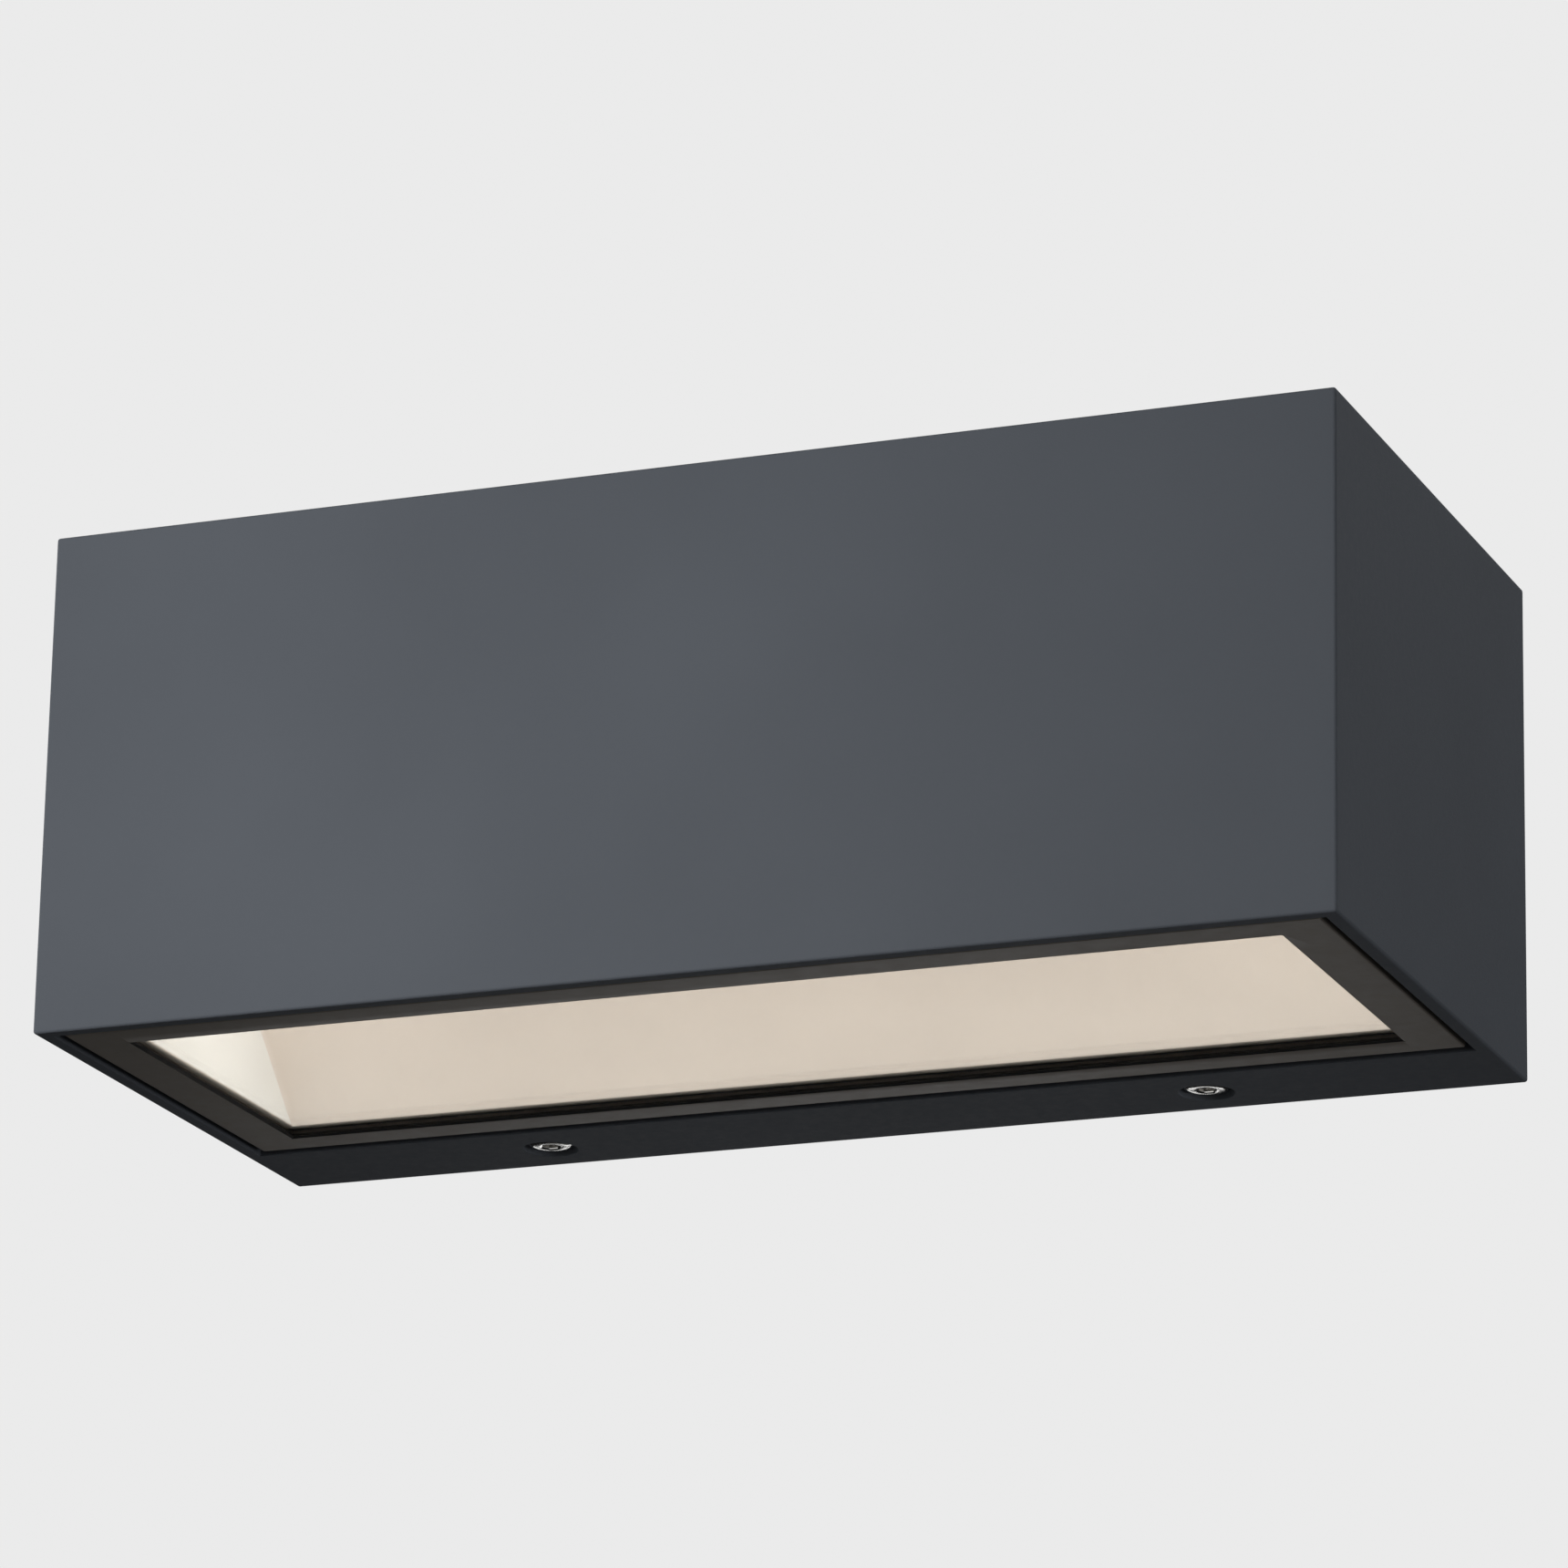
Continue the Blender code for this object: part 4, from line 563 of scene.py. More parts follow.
def housing_casting():
    """The cast box: walls, partition with its opening, rail, lugs, posts and rail bosses."""
    low, high = (np.array(corner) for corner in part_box("housing"))
    bottom, rear = low[Z], high[Y]
    steps = [
        (True, low, high),
        (False, (-INNER_RIGHT, INNER_FRONT, bottom), (INNER_RIGHT, PARTITION_FRONT, INNER_TOP)),
        (False, (-INNER_RIGHT, PARTITION_REAR, RAIL_TOP), (INNER_RIGHT, rear, INNER_TOP)),
        (False, (-INNER_RIGHT, INNER_FRONT, bottom), (INNER_RIGHT, RAIL_FRONT, RAIL_TOP)),
        (
            False,
            (-OPENING_RIGHT, PARTITION_FRONT, OPENING_LOW),
            (OPENING_RIGHT, PARTITION_REAR, OPENING_TOP),
        ),
    ]
    for side in (-1, 1):
        x_low, x_high = sorted((side * LUG_INNER, side * INNER_RIGHT))
        for y in LUG_YS:
            steps.append((True, (x_low, y - LUG_HALF, LUG_LOW), (x_high, y + LUG_HALF, LUG_TOP)))
    x_patches = ((FIXING_X, RAIL_PATCH), (COVER_SCREW_X, SCREW_PATCH), (POST_X, POST_PATCH))
    y_patches = ((FIXING_Y, RAIL_PATCH), *((y, POST_PATCH) for y in POST_YS))
    extra = (
        [side * (x + d) for side in (-1, 1) for x, half in x_patches for d in (-half, half)],
        [y + d for y, half in y_patches for d in (-half, half)],
        [z + d for z in COVER_SCREW_ZS for d in (-SCREW_PATCH, SCREW_PATCH)],
    )
    skin = body_of_boxes(steps, extra)
    for side in (-1, 1):
        spot = (side * FIXING_X, FIXING_Y, 0)
        patch_box = (np.subtract(spot, RAIL_PATCH), np.add(spot, RAIL_PATCH))
        bore(
            skin,
            Z,
            spot,
            (
                (RAIL_BOSS_RADIUS, RAIL_TOP),
                (RAIL_BOSS_RADIUS, RAIL_BOSS_TOP),
                (RAIL_HOLE_RADIUS, RAIL_BOSS_TOP),
                (RAIL_HOLE_RADIUS, COUNTERBORE_TOP),
                (COUNTERBORE_RADIUS, COUNTERBORE_TOP),
                (COUNTERBORE_RADIUS, bottom),
            ),
            patch_box,
            patch_box,
            sides=64,
        )
        for y in POST_YS:
            spot = (side * POST_X, y, 0)
            bore(
                skin,
                Z,
                spot,
                (
                    (SCREW_HOLE, POST_HOLE_TOP),
                    (SCREW_HOLE, POST_FOOT),
                    (POST_RADIUS, POST_FOOT),
                    (POST_RADIUS, INNER_TOP),
                ),
                low=(np.subtract(spot, POST_PATCH), np.add(spot, POST_PATCH)),
                sides=32,
            )
        x_low, x_high = sorted((side * LUG_INNER, side * INNER_RIGHT))
        for y in LUG_YS:
            lug = ((x_low, y - LUG_HALF, 0), (x_high, y + LUG_HALF, 0))
            spot = (side * BEZEL_BOSS_X, y, 0)
            bore(skin, Z, spot, ((SCREW_HOLE, LUG_TOP), (SCREW_HOLE, LUG_LOW)), lug, lug, sides=24)
        for z in COVER_SCREW_ZS:
            spot = (side * COVER_SCREW_X, 0, z)
            square = (np.subtract(spot, SCREW_PATCH), np.add(spot, SCREW_PATCH))
            rows = ((SCREW_HOLE, PARTITION_REAR), (SCREW_HOLE, PARTITION_FRONT))
            bore(skin, Y, spot, rows, square, square, sides=24)

    def widths(mesh):
        inner = INNER_EDGE * corner_edges(mesh)
        return np.where(box_edges(mesh, low, high), EDGE_RADIUS, inner)

    boxes_piece("housing_casting", "housing", skin, widths, 4)


def bezel_frame():
    """The frame in the underside: a plate with the window, a seat with a rim for the pane, and
    bosses. The window's own edge gets the black silicone finish: painted shade, for the shade
    that falls in that narrow edge."""
    low, high = (np.array(corner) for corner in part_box("lens_bezel"))
    rim_right = SEAT_RIGHT + RIM_THICKNESS
    rim_front, rim_rear = SEAT_FRONT - RIM_THICKNESS, SEAT_REAR + RIM_THICKNESS
    plate_high = (high[X], high[Y], BEZEL_TOP)
    steps = [
        (True, low, plate_high),
        (True, (-rim_right, rim_front, BEZEL_TOP), (rim_right, rim_rear, RIM_TOP)),
        (False, (-SEAT_RIGHT, SEAT_FRONT, SEAT_FLOOR), (SEAT_RIGHT, SEAT_REAR, RIM_TOP)),
        (
            False,
            (-WINDOW_RIGHT, WINDOW_FRONT, low[Z]),
            (WINDOW_RIGHT, WINDOW_REAR, SEAT_FLOOR),
        ),
    ]
    skin = body_of_boxes(steps, ((), [y + d for y in LUG_YS for d in (-LUG_HALF, LUG_HALF)], ()))
    for side in (-1, 1):
        x_low, x_high = sorted((side * rim_right, side * high[X]))
        for y in LUG_YS:
            bore(
                skin,
                Z,
                (side * BEZEL_BOSS_X, y, 0),
                (
                    (SCREW_HOLE, BEZEL_TOP),
                    (SCREW_HOLE, BEZEL_BOSS_TOP),
                    (BEZEL_BOSS_RADIUS, BEZEL_BOSS_TOP),
                    (BEZEL_BOSS_RADIUS, BEZEL_TOP),
                )[::-1],
                high=((x_low, y - LUG_HALF, 0), (x_high, y + LUG_HALF, 0)),
                sides=32,
            )

    def widths(mesh):
        window_low = (-WINDOW_RIGHT, WINDOW_FRONT, low[Z])
        window = box_edges(mesh, window_low, (WINDOW_RIGHT, WINDOW_REAR, low[Z]))
        plate = box_edges(mesh, low, plate_high)
        return BEZEL_EDGE * plate + WINDOW_EDGE * (window & ~plate & corner_edges(mesh))

    frame_piece = boxes_piece("bezel_frame", "lens_bezel", skin, widths, 3)
    mesh = frame_piece.data
    # Painted shade: the faces of the window's edge are black, standing for the shade in that narrow
    # edge.
    mesh.materials.append(FINISH["black_silicone"])
    spots = of_mesh(mesh.polygons, "center", float, 3)
    window_edge_painted_shade = (np.abs(spots[:, X]) < WINDOW_RIGHT + TINY) & (spots[:, Y] < WINDOW_REAR + TINY)
    window_edge_painted_shade &= (spots[:, Y] > WINDOW_FRONT - TINY) & (spots[:, Z] > low[Z] + TINY)
    mesh.polygons.foreach_set("material_index", window_edge_painted_shade.astype(int))


def pane_and_gasket():
    """The pane, whose cut edge gets the black silicone finish, both as its silicone bed and as
    painted shade over the light that edge would catch, and the gasket round it.
    """
    low, high = (np.array(corner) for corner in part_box("glass_pane"))
    pane = boxes_piece(
        "window_pane",
        "glass_pane",
        body_of_boxes([(True, low, high)]),
        lambda mesh: np.full(len(mesh.edges), PANE_EDGE),
        2,
    )
    pane.visible_shadow = False
    # The upright edge faces are black: a silicone bed, and painted shade that hides the edge's
    # bright glints.
    pane.data.materials.append(FINISH["black_silicone"])
    upright = np.abs(of_mesh(pane.data.polygons, "normal", float, 3)[:, Z]) < 0.5
    pane.data.polygons.foreach_set("material_index", upright.astype(int))
    pane_low, pane_high = low - GASKET_GAP, high + GASKET_GAP
    low, high = (np.array(corner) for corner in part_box("glass_gasket"))
    pane_low[Z], pane_high[Z] = low[Z], high[Z]
    ring = body_of_boxes([(True, low, high), (False, pane_low, pane_high)])
    boxes_piece(
        "pane_gasket", "glass_gasket", ring, lambda mesh: GASKET_EDGE * corner_edges(mesh), 2
    )


def corner_ring(x, y_low, y_high, z, radius, steps=5):
    """A level rectangle with round corners. Each corner is a quarter turn about its centre."""
    turn = np.linspace(0, math.pi / 2, steps)
    quarters = np.arange(4) * math.pi / 2
    angle = (quarters[:, None] + turn).ravel()
    centre_x = np.repeat(np.array((1, -1, -1, 1)) * (x - radius), steps)
    centre_y = np.repeat((y_high - radius, y_high - radius, y_low + radius, y_low + radius), steps)
    x_line = centre_x + radius * np.cos(angle)
    y_line = centre_y + radius * np.sin(angle)
    return np.stack((x_line, y_line, np.full(len(angle), z)), -1)


def bent(before, corner, after, reach, steps=4):
    """Rings that turn from one ring to another round a third, on a curve that starts at `reach`."""
    towards = before - corner
    away = after - corner
    start = corner + towards * (reach / np.linalg.norm(towards, axis=-1, keepdims=True))
    end = corner + away * (reach / np.linalg.norm(away, axis=-1, keepdims=True))
    t = np.linspace(0, 1, steps)[:, None, None]
    return (1 - t) ** 2 * start + 2 * t * (1 - t) * corner + t**2 * end


def light_reflector():
    """The folded tray above the pane: a flange, upright ends and front, a leaning rear wall, and a
    roof with the slot for the LEDs. Rings of one rectangle each are joined from flange to slot."""
    slot_front, slot_rear = SLOT_Y - SLOT_HALF, SLOT_Y + SLOT_HALF
    flange = corner_ring(
        WINDOW_RIGHT + PANE_OVERLAP,
        WINDOW_FRONT - PANE_OVERLAP,
        WINDOW_REAR + PANE_OVERLAP,
        CHAMBER_LOW,
        SHEET_CORNER,
    )
    foot = corner_ring(WINDOW_RIGHT, WINDOW_FRONT, WINDOW_REAR, CHAMBER_LOW, SHEET_CORNER)
    roof = corner_ring(WINDOW_RIGHT, WINDOW_FRONT, CHAMBER_ROOF_REAR, CHAMBER_TOP, SHEET_CORNER)
    slot = corner_ring(SLOT_RIGHT, slot_front, slot_rear, CHAMBER_TOP, SHEET_CORNER / 2)
    rings = np.concatenate(
        [
            flange[None],
            bent(flange, foot, roof, FOOT_BEND),
            bent(foot, roof, slot, ROOF_BEND),
            slot[None],
        ]
    )
    count, around = rings.shape[:2]
    ids = np.arange(count * around).reshape(count, around)
    mesh = new_mesh("reflector_tray", rings.reshape(-1, 3), ring_walls(ids))
    tray = new_piece("reflector_tray", mesh, "reflector")
    # Painted light: the upright end walls get the whiter copy of the cream coat, for the brighter
    # light that falls on them.
    mesh.materials.append(END_WALL_PAINTED_LIGHT)
    upright = np.abs(of_mesh(mesh.polygons, "normal", float, 3)[:, X]) > 0.8
    mesh.polygons.foreach_set("material_index", upright.astype(int))
    sheet = tray.modifiers.new("sheet", "SOLIDIFY")
    sheet.thickness = SHEET
    sheet.offset = 1.0
    sheet.use_even_offset = True


def revolved(name, node, seat, direction, rows, sides):
    """A turned piece: each row is (radius, height, hexagonal) and is carried once round the axis.

    A hexagonal row's radius grows from its flat's distance by one over the cosine of the angle from
    the middle of the flat. Radius 0 is a pole.
    """
    turn = np.arange(sides) * math.tau / sides
    radius, height, six = np.array(rows, float).T[:, :, None]
    from_flat = (turn + math.pi / 6) % (math.pi / 3) - math.pi / 6
    reach = radius * np.where(six > 0, 1 / np.cos(from_flat), 1.0)
    rings = np.stack((reach * np.cos(turn), reach * np.sin(turn), height + 0 * turn), -1)
    spin = np.array(Vector((0, 0, 1)).rotation_difference(Vector(direction)).to_matrix())
    points = rings.reshape(-1, 3) @ spin.T + np.array(seat)
    ids = np.arange(rings[..., 0].size).reshape(rings.shape[:2])
    mesh = new_mesh(name, points, ring_walls(ids, flip=True))
    merge_doubles(mesh)
    smooth_between(mesh, TURNED_CREASE)
    return new_piece(name, mesh, node)


def arc(radius_from, height_from, radius_to, height_to, steps=7):
    """Rows on a quarter of an ellipse, upright at its start and level at its end."""
    t = np.linspace(0, math.pi / 2, steps)
    radius = radius_to + (radius_from - radius_to) * np.cos(t)
    height = height_from + (height_to - height_from) * np.sin(t)
    return [(r, h, 0) for r, h in zip(radius, height)]


def fixing_bolt(side, x):
    """The M5 button head screw under the rail: domed head, hexagon socket, shank and point."""
    node = f"fixing_screw_{side}"
    low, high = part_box(node)
    head, shank, socket, depth = 0.00275, 0.0025, 0.0015, 0.0016
    rim, crown, point, cone = 0.00475, 0.0026, 0.0005, 0.0004
    length = high.z - low.z - head
    floor = head - depth - cone
    rows = [(0, -length, 0), (shank - point, -length, 0), (shank, point - length, 0)]
    rows += [(shank, 0, 0), (rim - 0.0002, 0, 0), (rim, 0.0002, 0)]
    rows += arc(rim, head - 0.001, crown, head)
    rows += [(socket + 0.00035, head, 1), (socket, head - 0.00025, 1), (socket, head - depth, 1)]
    rows += [(0.0003, floor, 0), (0, floor, 0)]
    seat = (x, FIXING_Y, low.z + head)
    revolved(f"fixing_bolt_{side}", node, seat, (0, 0, -1), rows, 72)


def pan_screw(node, direction, head, shank, head_height):
    """A small pan head screw with a hexagon socket, in its CAD node's place."""
    low, high = (np.array(corner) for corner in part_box(node))
    middle = (low + high) / 2
    along = np.array(direction, float)
    tip_to_top = float(np.abs(along) @ (high - low))
    seat = middle + along * (tip_to_top / 2 - head_height)
    length = tip_to_top - head_height
    socket = head * 0.42
    rows = [(0, -length, 0), (shank * 0.7, -length, 0), (shank, shank * 0.5 - length, 0)]
    rows += [(shank, 0, 0), (head - 0.0001, 0, 0), (head, 0.0001, 0)]
    rows += arc(head, head_height * 0.45, head * 0.62, head_height, 5)
    rows += [(socket + 0.0001, head_height, 1), (socket, head_height - 0.0001, 1)]
    rows += [(socket, head_height * 0.5, 1), (0, head_height * 0.42, 0)]
    revolved(node + "_turned", node, seat, direction, rows, 36)


def small_screws():
    """Every small screw, by the direction in which its head looks."""
    for stem, count, direction in (
        ("bezel_screw", 4, (0, 0, 1)),
        ("driver_screw", 2, (0, 0, 1)),
        ("spreader_screw", 4, (0, 0, -1)),
        ("board_screw", 2, (0, 0, -1)),
        ("cover_screw", 4, (0, 1, 0)),
    ):
        for i in range(1, count + 1):
            pan_screw(f"{stem}_{i}", direction, *SMALL_SCREW)
    pan_screw("terminal_screw", (0, 1, 0), *SMALL_SCREW)
    pan_screw("earth_tag_screw", (0, 1, 0), *EARTH_SCREW)
    pan_screw("bracket_earth_screw", (0, -1, 0), *EARTH_SCREW)


def folded_bracket():
    """The wall bracket, folded from 2 mm sheet: the outline of its two skins, one inside the other,
    is carried along X, and its slots and holes are bored through the plate."""
    low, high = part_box("wall_bracket")
    outer = BRACKET_BEND_OUTER
    slots = (
        (0.076, 0.02933, (0.0, 0.0044)),
        (0.076, -0.00927, (0.0044, 0.0)),
        (0.0589, 0.0081, (0.0044, 0.0)),
    )
    half_wide, half_long = 0.0042, 0.0086
    mouths = [
        ((0.0, 0.0, CABLE_Z), 0.0118, 0.0118, (0, 0)),
        ((EARTH_X, 0.0, EARTH_Z), 0.003, 0.003, (0, 0)),
    ]
    for x, z, stretch in slots:
        across = (half_wide, half_long) if stretch[0] else (half_long, half_wide)
        for side in (-1, 1):
            mouths.append(((side * x, 0.0, z), *across, stretch))
    xs = [low.x, high.x] + [m[0][X] + d for m in mouths for d in (-m[1], m[1])]
    zs = [m[0][Z] + d for m in mouths for d in (-m[2], m[2])]
    xs = np.unique(np.round(xs, 7))
    zs = np.unique(np.round(zs, 7))
    bend = np.linspace(0, math.pi / 2, 7)
    bend_low, bend_top = low.z + outer, high.z - outer

    def row(radius, tip_inset, plate_y):
        """Lower flange, bend, plate, bend and upper flange, as (y, z) points."""
        lower = np.stack((-outer + radius * np.sin(bend), bend_low - radius * np.cos(bend)), 1)
        upper = np.stack((-outer + radius * np.cos(bend), bend_top + radius * np.sin(bend)), 1)
        plate = np.stack((np.full(len(zs), plate_y), zs), 1)
        tips = (low.y, low.z + tip_inset), (low.y, high.z - tip_inset)
        return np.concatenate([[tips[0]], lower, plate, upper, [tips[1]]])

    inner_skin = row(BRACKET_BEND_INNER, BRACKET_SHEET, -BRACKET_SHEET)
    outlines = np.stack((row(outer, 0.0, 0.0), inner_skin))
    count = outlines.shape[1]
    points = np.zeros((2, count, len(xs), 3))
    points[..., X] = xs
    points[..., 1:] = outlines[:, :, None]
    ids = np.arange(points[..., 0].size).reshape(2, count, len(xs))

    def sheet(grid, flip):
        quads = np.stack((grid[:-1, :-1], grid[:-1, 1:], grid[1:, 1:], grid[1:, :-1]), -1)
        return quads.reshape(-1, 4)[:, ::flip]

    quads = [
        sheet(ids[0], -1),
        sheet(ids[1], 1),
        sheet(ids[:, :, 0], -1),
        sheet(ids[:, :, -1], 1),
        sheet(ids[:, 0, :], 1),
        sheet(ids[:, -1, :], -1),
    ]
    skin = {
        "points": points.reshape(-1, 3),
        "quads": np.concatenate(quads),
        "triangles": np.empty((0, 3), int),
    }
    radii = {0: 0.0105, 1: 0.0021}
    for i, (spot, half_x, half_z, stretch) in enumerate(mouths):
        rect = (np.subtract(spot, (half_x, 0, half_z)), np.add(spot, (half_x, 0, half_z)))
        radius = radii.get(i, 0.0026)
        rows = ((radius, 0.0), (radius, -BRACKET_SHEET))
        bore(skin, Y, spot, rows, rect, rect, 64 if i == 0 else 32, stretch)

    def widths(mesh):
        return BRACKET_EDGE * corner_edges(mesh, BEND_CREASE)

    boxes_piece("folded_bracket", "wall_bracket", skin, widths, 2)


def cable_bush():
    """The rubber bush in the bracket's cable hole: a rounded flange and a neck, turned about Y."""
    low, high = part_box("bracket_grommet")
    bore_radius, neck, flange = 0.008, 0.0102, 0.0125
    top = -low.y
    base = -high.y
    step = 0.0023
    lip = 0.0005
    rows = [(bore_radius, base, 0), (neck, base, 0), (neck, step, 0)]
    rows += [(flange - lip / 2, step, 0), (flange, step + lip / 2, 0)]
    rows += arc(flange, top - lip, flange - lip, top, 5)
    rows += [(r, h, 0) for r, h, _ in arc(bore_radius, top - lip, bore_radius + lip, top, 5)[::-1]]
    rows += [(bore_radius, base, 0)]
    revolved("cable_bush", "bracket_grommet", (0, 0, CABLE_Z), (0, -1, 0), rows, 64)


def led_packages():
    """Each LED: a white square frame with a round-cornered bed of phosphor, slightly domed."""
    for i in range(1, 9):
        node = f"led_{i}"
        low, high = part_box(node)
        centre = (low + high) / 2
        half = (high.x - low.x) / 2
        levels = (
            (half, high.z, 0.0002),
            (half, low.z + 0.0001, 0.0002),
            (half - 0.0001, low.z, 0.0002),
            (half - 0.0005, low.z, 0.0006),
            (half - 0.0006, low.z + 0.0002, 0.0006),
            (half - 0.0012, low.z + 0.00012, 0.0006),
            (half - 0.0020, low.z + 0.00008, 0.0004),
        )
        rings = np.stack([corner_ring(size, -size, size, z, r, 4) for size, z, r in levels])
        rings[..., 0] += centre.x
        rings[..., 1] += centre.y
        count, around = rings.shape[:2]
        ids = np.arange(count * around).reshape(count, around)
        name = f"led_package_{i}"
        caps = ids[[0]], ids[[-1], ::-1]
        mesh = new_mesh(name, rings.reshape(-1, 3), ring_walls(ids, flip=True), *caps)
        new_piece(name, mesh, node)
        mesh.materials.append(LED_FRAME)
        spots = of_mesh(mesh.polygons, "center", float, 3)
        reach = np.abs(spots[:, :2] - np.array(centre)[:2]).max(1)
        mesh.polygons.foreach_set("material_index", (reach > half - 0.00055).astype(int))
        mesh.set_sharp_from_angle(angle=math.radians(TURNED_CREASE))


def eased_copy(node, width):
    """A merged copy of a CAD node, with its sharp corners eased by a small bevel."""
    mesh = frame["nodes"][node].data.copy()
    merge_doubles(mesh, flatten=True)
    mesh.materials.clear()
    smooth_between(mesh, EASED_CREASE)
    thing = new_piece(node + "_eased", mesh, node)
    if width:
        edge = thing.modifiers.new("edge", "BEVEL")
        edge.width = width
        edge.segments = 2
        edge.limit_method = "ANGLE"
        edge.angle_limit = math.radians(EASED_CREASE)
    shading = thing.modifiers.new("shading", "WEIGHTED_NORMAL")
    shading.keep_sharp = True


# Studio


def background_rays(nodes, links):
    """1 for the rays that see the background: camera, glossy and transmission rays."""
    path = nodes.new("ShaderNodeLightPath")
    seen = path.outputs["Is Camera Ray"]
    for kind in ("Is Glossy Ray", "Is Transmission Ray"):
        either = nodes.new("ShaderNodeMath")
        either.operation = "MAXIMUM"
        links.new(seen, either.inputs[0])
        links.new(path.outputs[kind], either.inputs[1])
        seen = either.outputs[0]
    return seen


def flat_square(name, half, level=0.0):
    """A level square about the Z axis."""
    corners = [(x * half, y * half, level) for x, y in ((-1, -1), (1, -1), (1, 1), (-1, 1))]
    mesh = bpy.data.meshes.new(name)
    mesh.from_pydata(corners, [], [(0, 1, 2, 3)])
    square = bpy.data.objects.new(name, mesh)
    bpy.context.scene.collection.objects.link(square)
    return square


def pale_floor():
    """A wide level plane far below the light. Its paint takes the light and the shadow, and the
    rays that see the background get the rest of the background's tone from it."""
    floor = flat_square("floor", 6.0, -2.0)
    finish = Finish("floor_paint", (0.30, 0.30, 0.30), 0.9, specular=0.0)
    finish.tinted(finish.noise(1.5), 0.01)
    tone = finish.new("Math", operation="MULTIPLY")
    finish.links.new(background_rays(finish.nodes, finish.links), tone.inputs[0])
    tone.inputs[1].default_value = BACKGROUND - FLOOR_SHARE
    finish.links.new(tone.outputs[0], finish.shader.inputs["Emission Strength"])
    finish.shader.inputs["Emission Color"].default_value = (1, 1, 1, 1)
    floor.data.materials.append(finish.material)


def studio_world(strength):
    """Even light from all round. Camera, glossy and transmission rays see the pale background."""
    world = bpy.data.worlds.new("studio")
    bpy.context.scene.world = world
    world.use_nodes = True
    nodes, links = world.node_tree.nodes, world.node_tree.links
    nodes.clear()
    out = nodes.new("ShaderNodeOutputWorld")
    mix = nodes.new("ShaderNodeMixShader")
    lit = nodes.new("ShaderNodeBackground")
    seen = nodes.new("ShaderNodeBackground")
    lit.inputs["Strength"].default_value = strength
    lit.inputs["Color"].default_value = (1, 1, 1, 1)
    seen.inputs["Color"].default_value = (1, 1, 1, 1)
    seen.inputs["Strength"].default_value = BACKGROUND
    links.new(background_rays(nodes, links), mix.inputs[0])
    links.new(lit.outputs[0], mix.inputs[1])
    links.new(seen.outputs[0], mix.inputs[2])
    links.new(mix.outputs[0], out.inputs["Surface"])


def softbox(name, place, target, size, power, tone=(1, 1, 1)):
    """A rectangular lamp that the camera doesn't see, turned towards its target."""
    lamp = bpy.data.lights.new(name, "AREA")
    lamp.shape = "RECTANGLE"
    lamp.size, lamp.size_y = size
    lamp.energy = power
    lamp.color = tone
    thing = bpy.data.objects.new(name, lamp)
    bpy.context.scene.collection.objects.link(thing)
    thing.location = place
    thing.rotation_euler = (Vector(target) - Vector(place)).to_track_quat("-Z", "Y").to_euler()
    thing.visible_camera = False
    return thing


def recess_light():
    """The daylight that the recess gathers: a lamp in the plane of the window shines up, and one
    towards each end wall. They move with the reflector, and only matt surfaces see them."""
    tone = (1.0, 0.985, 0.965)
    middle = (WINDOW_FRONT + WINDOW_REAR) / 2
    lamps = [
        softbox(
            "window_glow",
            (0, middle, CHAMBER_LOW),
            (0, middle, 1),
            (2 * WINDOW_RIGHT, WINDOW_REAR - WINDOW_FRONT),
            0.055,
            tone,
        )
    ]
    for name, side in (("left_end_glow", -1), ("right_end_glow", 1)):
        place = Vector((side * 0.03, -0.080, -0.032))
        lamp = softbox(name, place, place + Vector((side, 0, 0)), (0.03, 0.02), 0.004, tone)
        lamp.data.spread = math.radians(60)
        lamps.append(lamp)
    for lamp in lamps:
        lamp.visible_glossy = False
        lamp.visible_transmission = False
        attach(lamp, BODY_OF["reflector"])


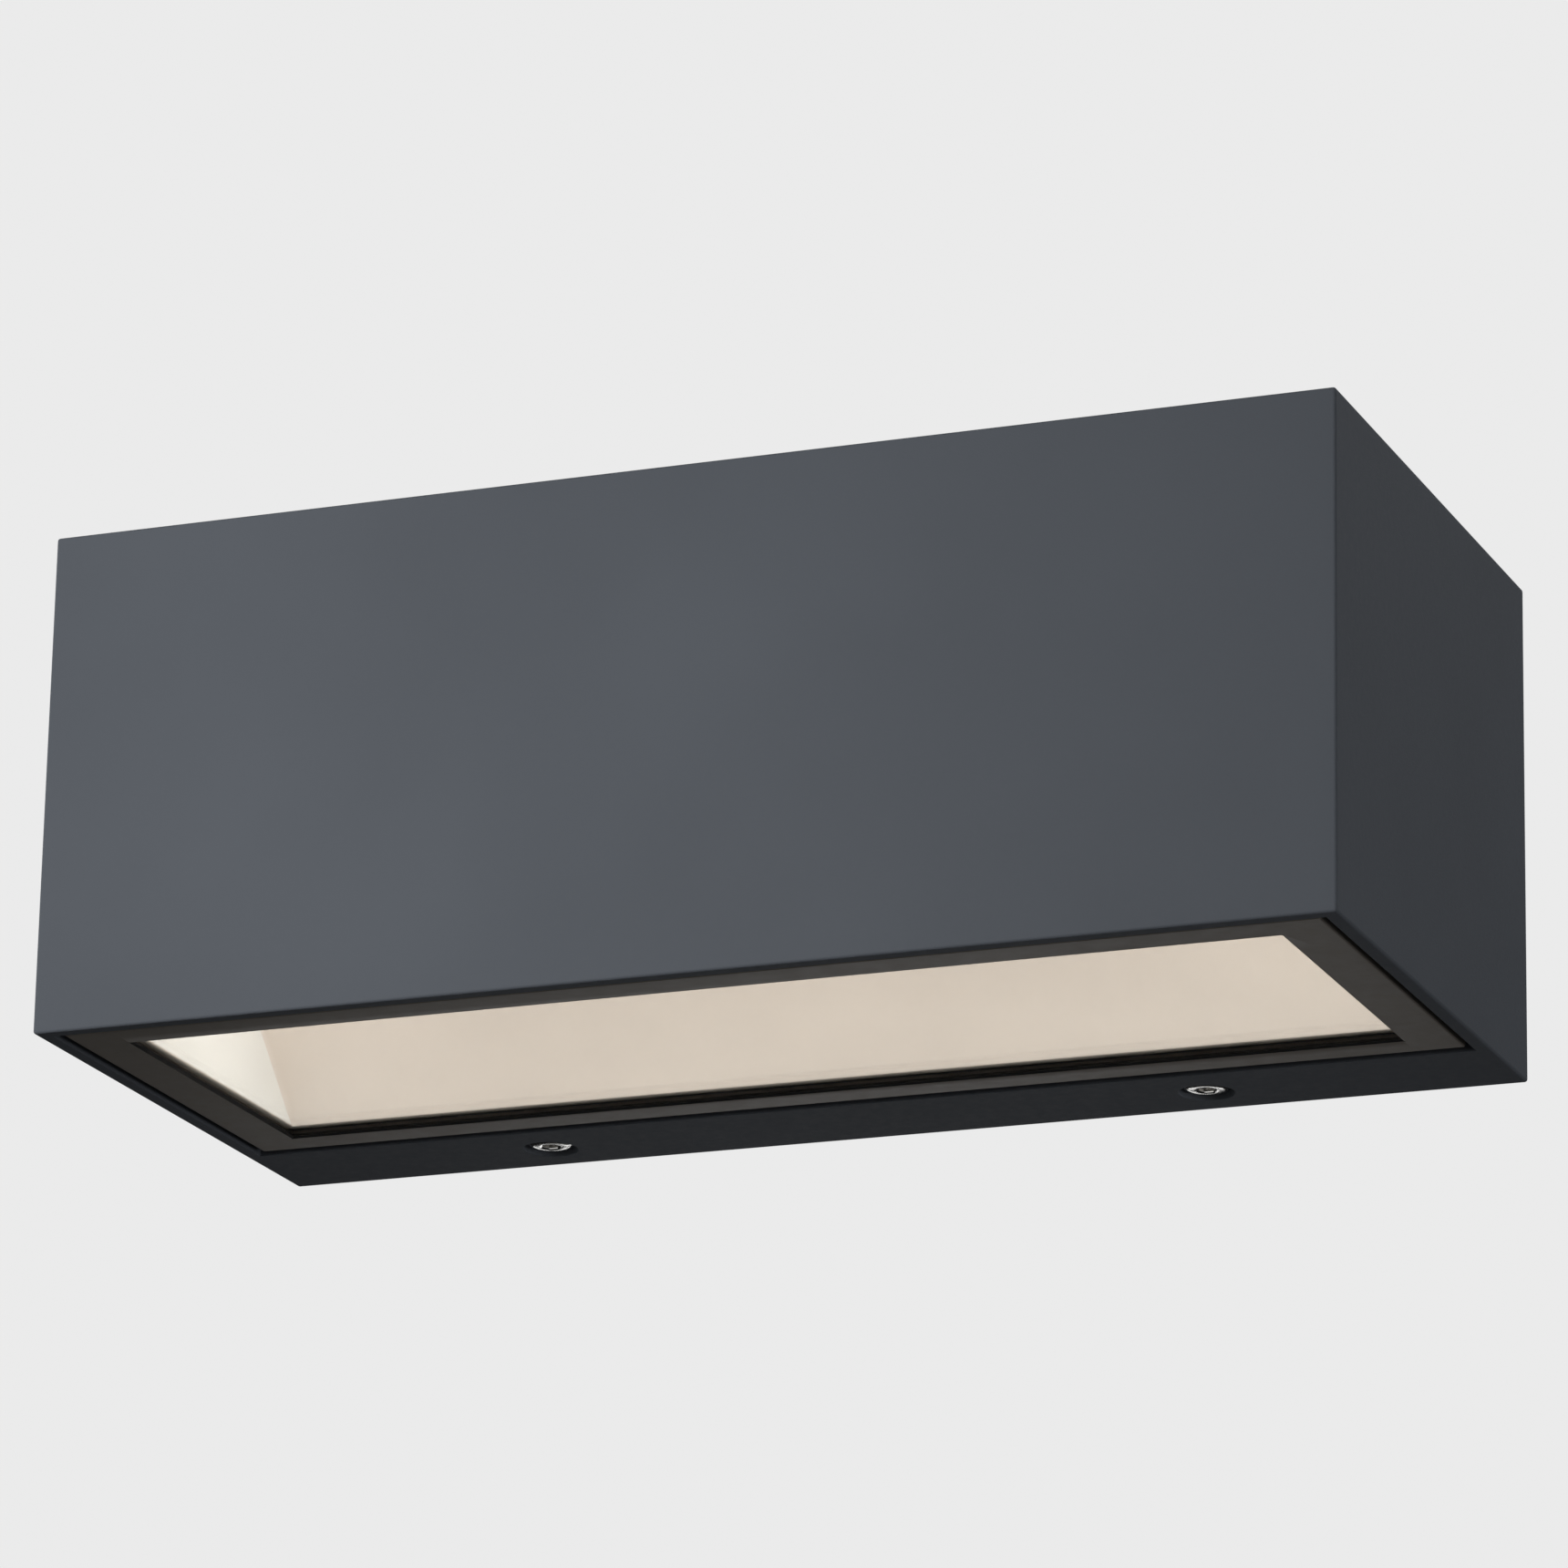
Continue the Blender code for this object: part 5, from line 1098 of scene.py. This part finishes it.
def dark_card(name, place, target, size):
    """A black card behind the light. Only reflections and the glass show it, so it darkens what is
    seen at a grazing angle, such as the underside and the pane, and takes no light away."""
    card = flat_square(name, size / 2)
    card.location = place
    card.rotation_euler = (Vector(target) - Vector(place)).to_track_quat("Z", "Y").to_euler()
    card.visible_camera = False
    card.visible_diffuse = False
    card.visible_shadow = False
    finish = Finish(name + "_cloth", (0.02, 0.02, 0.02), 0.95, specular=0.0)
    finish.tinted(finish.noise(3), 0.05)
    card.data.materials.append(finish.material)


def photo_camera():
    """The photograph's view: from the right, from below, with a long lens."""
    lens = bpy.data.cameras.new("camera")
    lens.lens = CAMERA_LENS
    lens.sensor_width = 36.0
    lens.clip_end = 100
    camera = bpy.data.objects.new("camera", lens)
    bpy.context.scene.collection.objects.link(camera)
    forward = Vector(CAMERA_FORWARD).normalized()
    right = forward.cross(Vector(CAMERA_UP)).normalized()
    up = right.cross(forward)
    turned = Matrix((right, up, -forward)).transposed().to_4x4()
    camera.matrix_world = Matrix.Translation(CAMERA_PLACE) @ turned
    bpy.context.scene.camera = camera


bpy.context.scene.view_settings.view_transform = "Standard"
photo_camera()
studio_world(0.10)
softbox("key", (-0.125, -0.50, -0.02), (-0.08, -0.12, -0.02), (0.3, 0.08), 1.52)
softbox("front_fill", (-0.60, -1.40, 0.35), CENTRE, (0.8, 0.8), 3.8)
softbox("right_fill", (1.20, -0.10, -0.24), CENTRE, (0.4, 0.4), 3.3)
recess_light()
softbox("left_glint", (-0.40, 0.871, -0.22), (0, 0, 0), (0.30, 0.08), 0.14)
softbox("right_glint", (-0.26, 0.871, -0.41), (0, 0, 0), (0.30, 0.08), 0.14)
softbox("left_fill", (-1.20, -0.10, 0.35), CENTRE, (0.4, 0.4), 3.0)
softbox("rear_top", (0.20, 0.90, 1.10), CENTRE, (1.0, 1.0), 12)
dark_card("low_card", (-0.43, 1.10, -0.41), CENTRE, 2.6)
dark_card("right_card", (0.56, 1.10, 0.36), CENTRE, 2.0)
pale_floor()

housing_casting()
bezel_frame()
pane_and_gasket()
light_reflector()
led_packages()
small_screws()
folded_bracket()
cable_bush()
fixing_bolt("left", -FIXING_X)
fixing_bolt("right", FIXING_X)
for eased_node, eased_width in EASED.items():
    eased_copy(eased_node, eased_width)
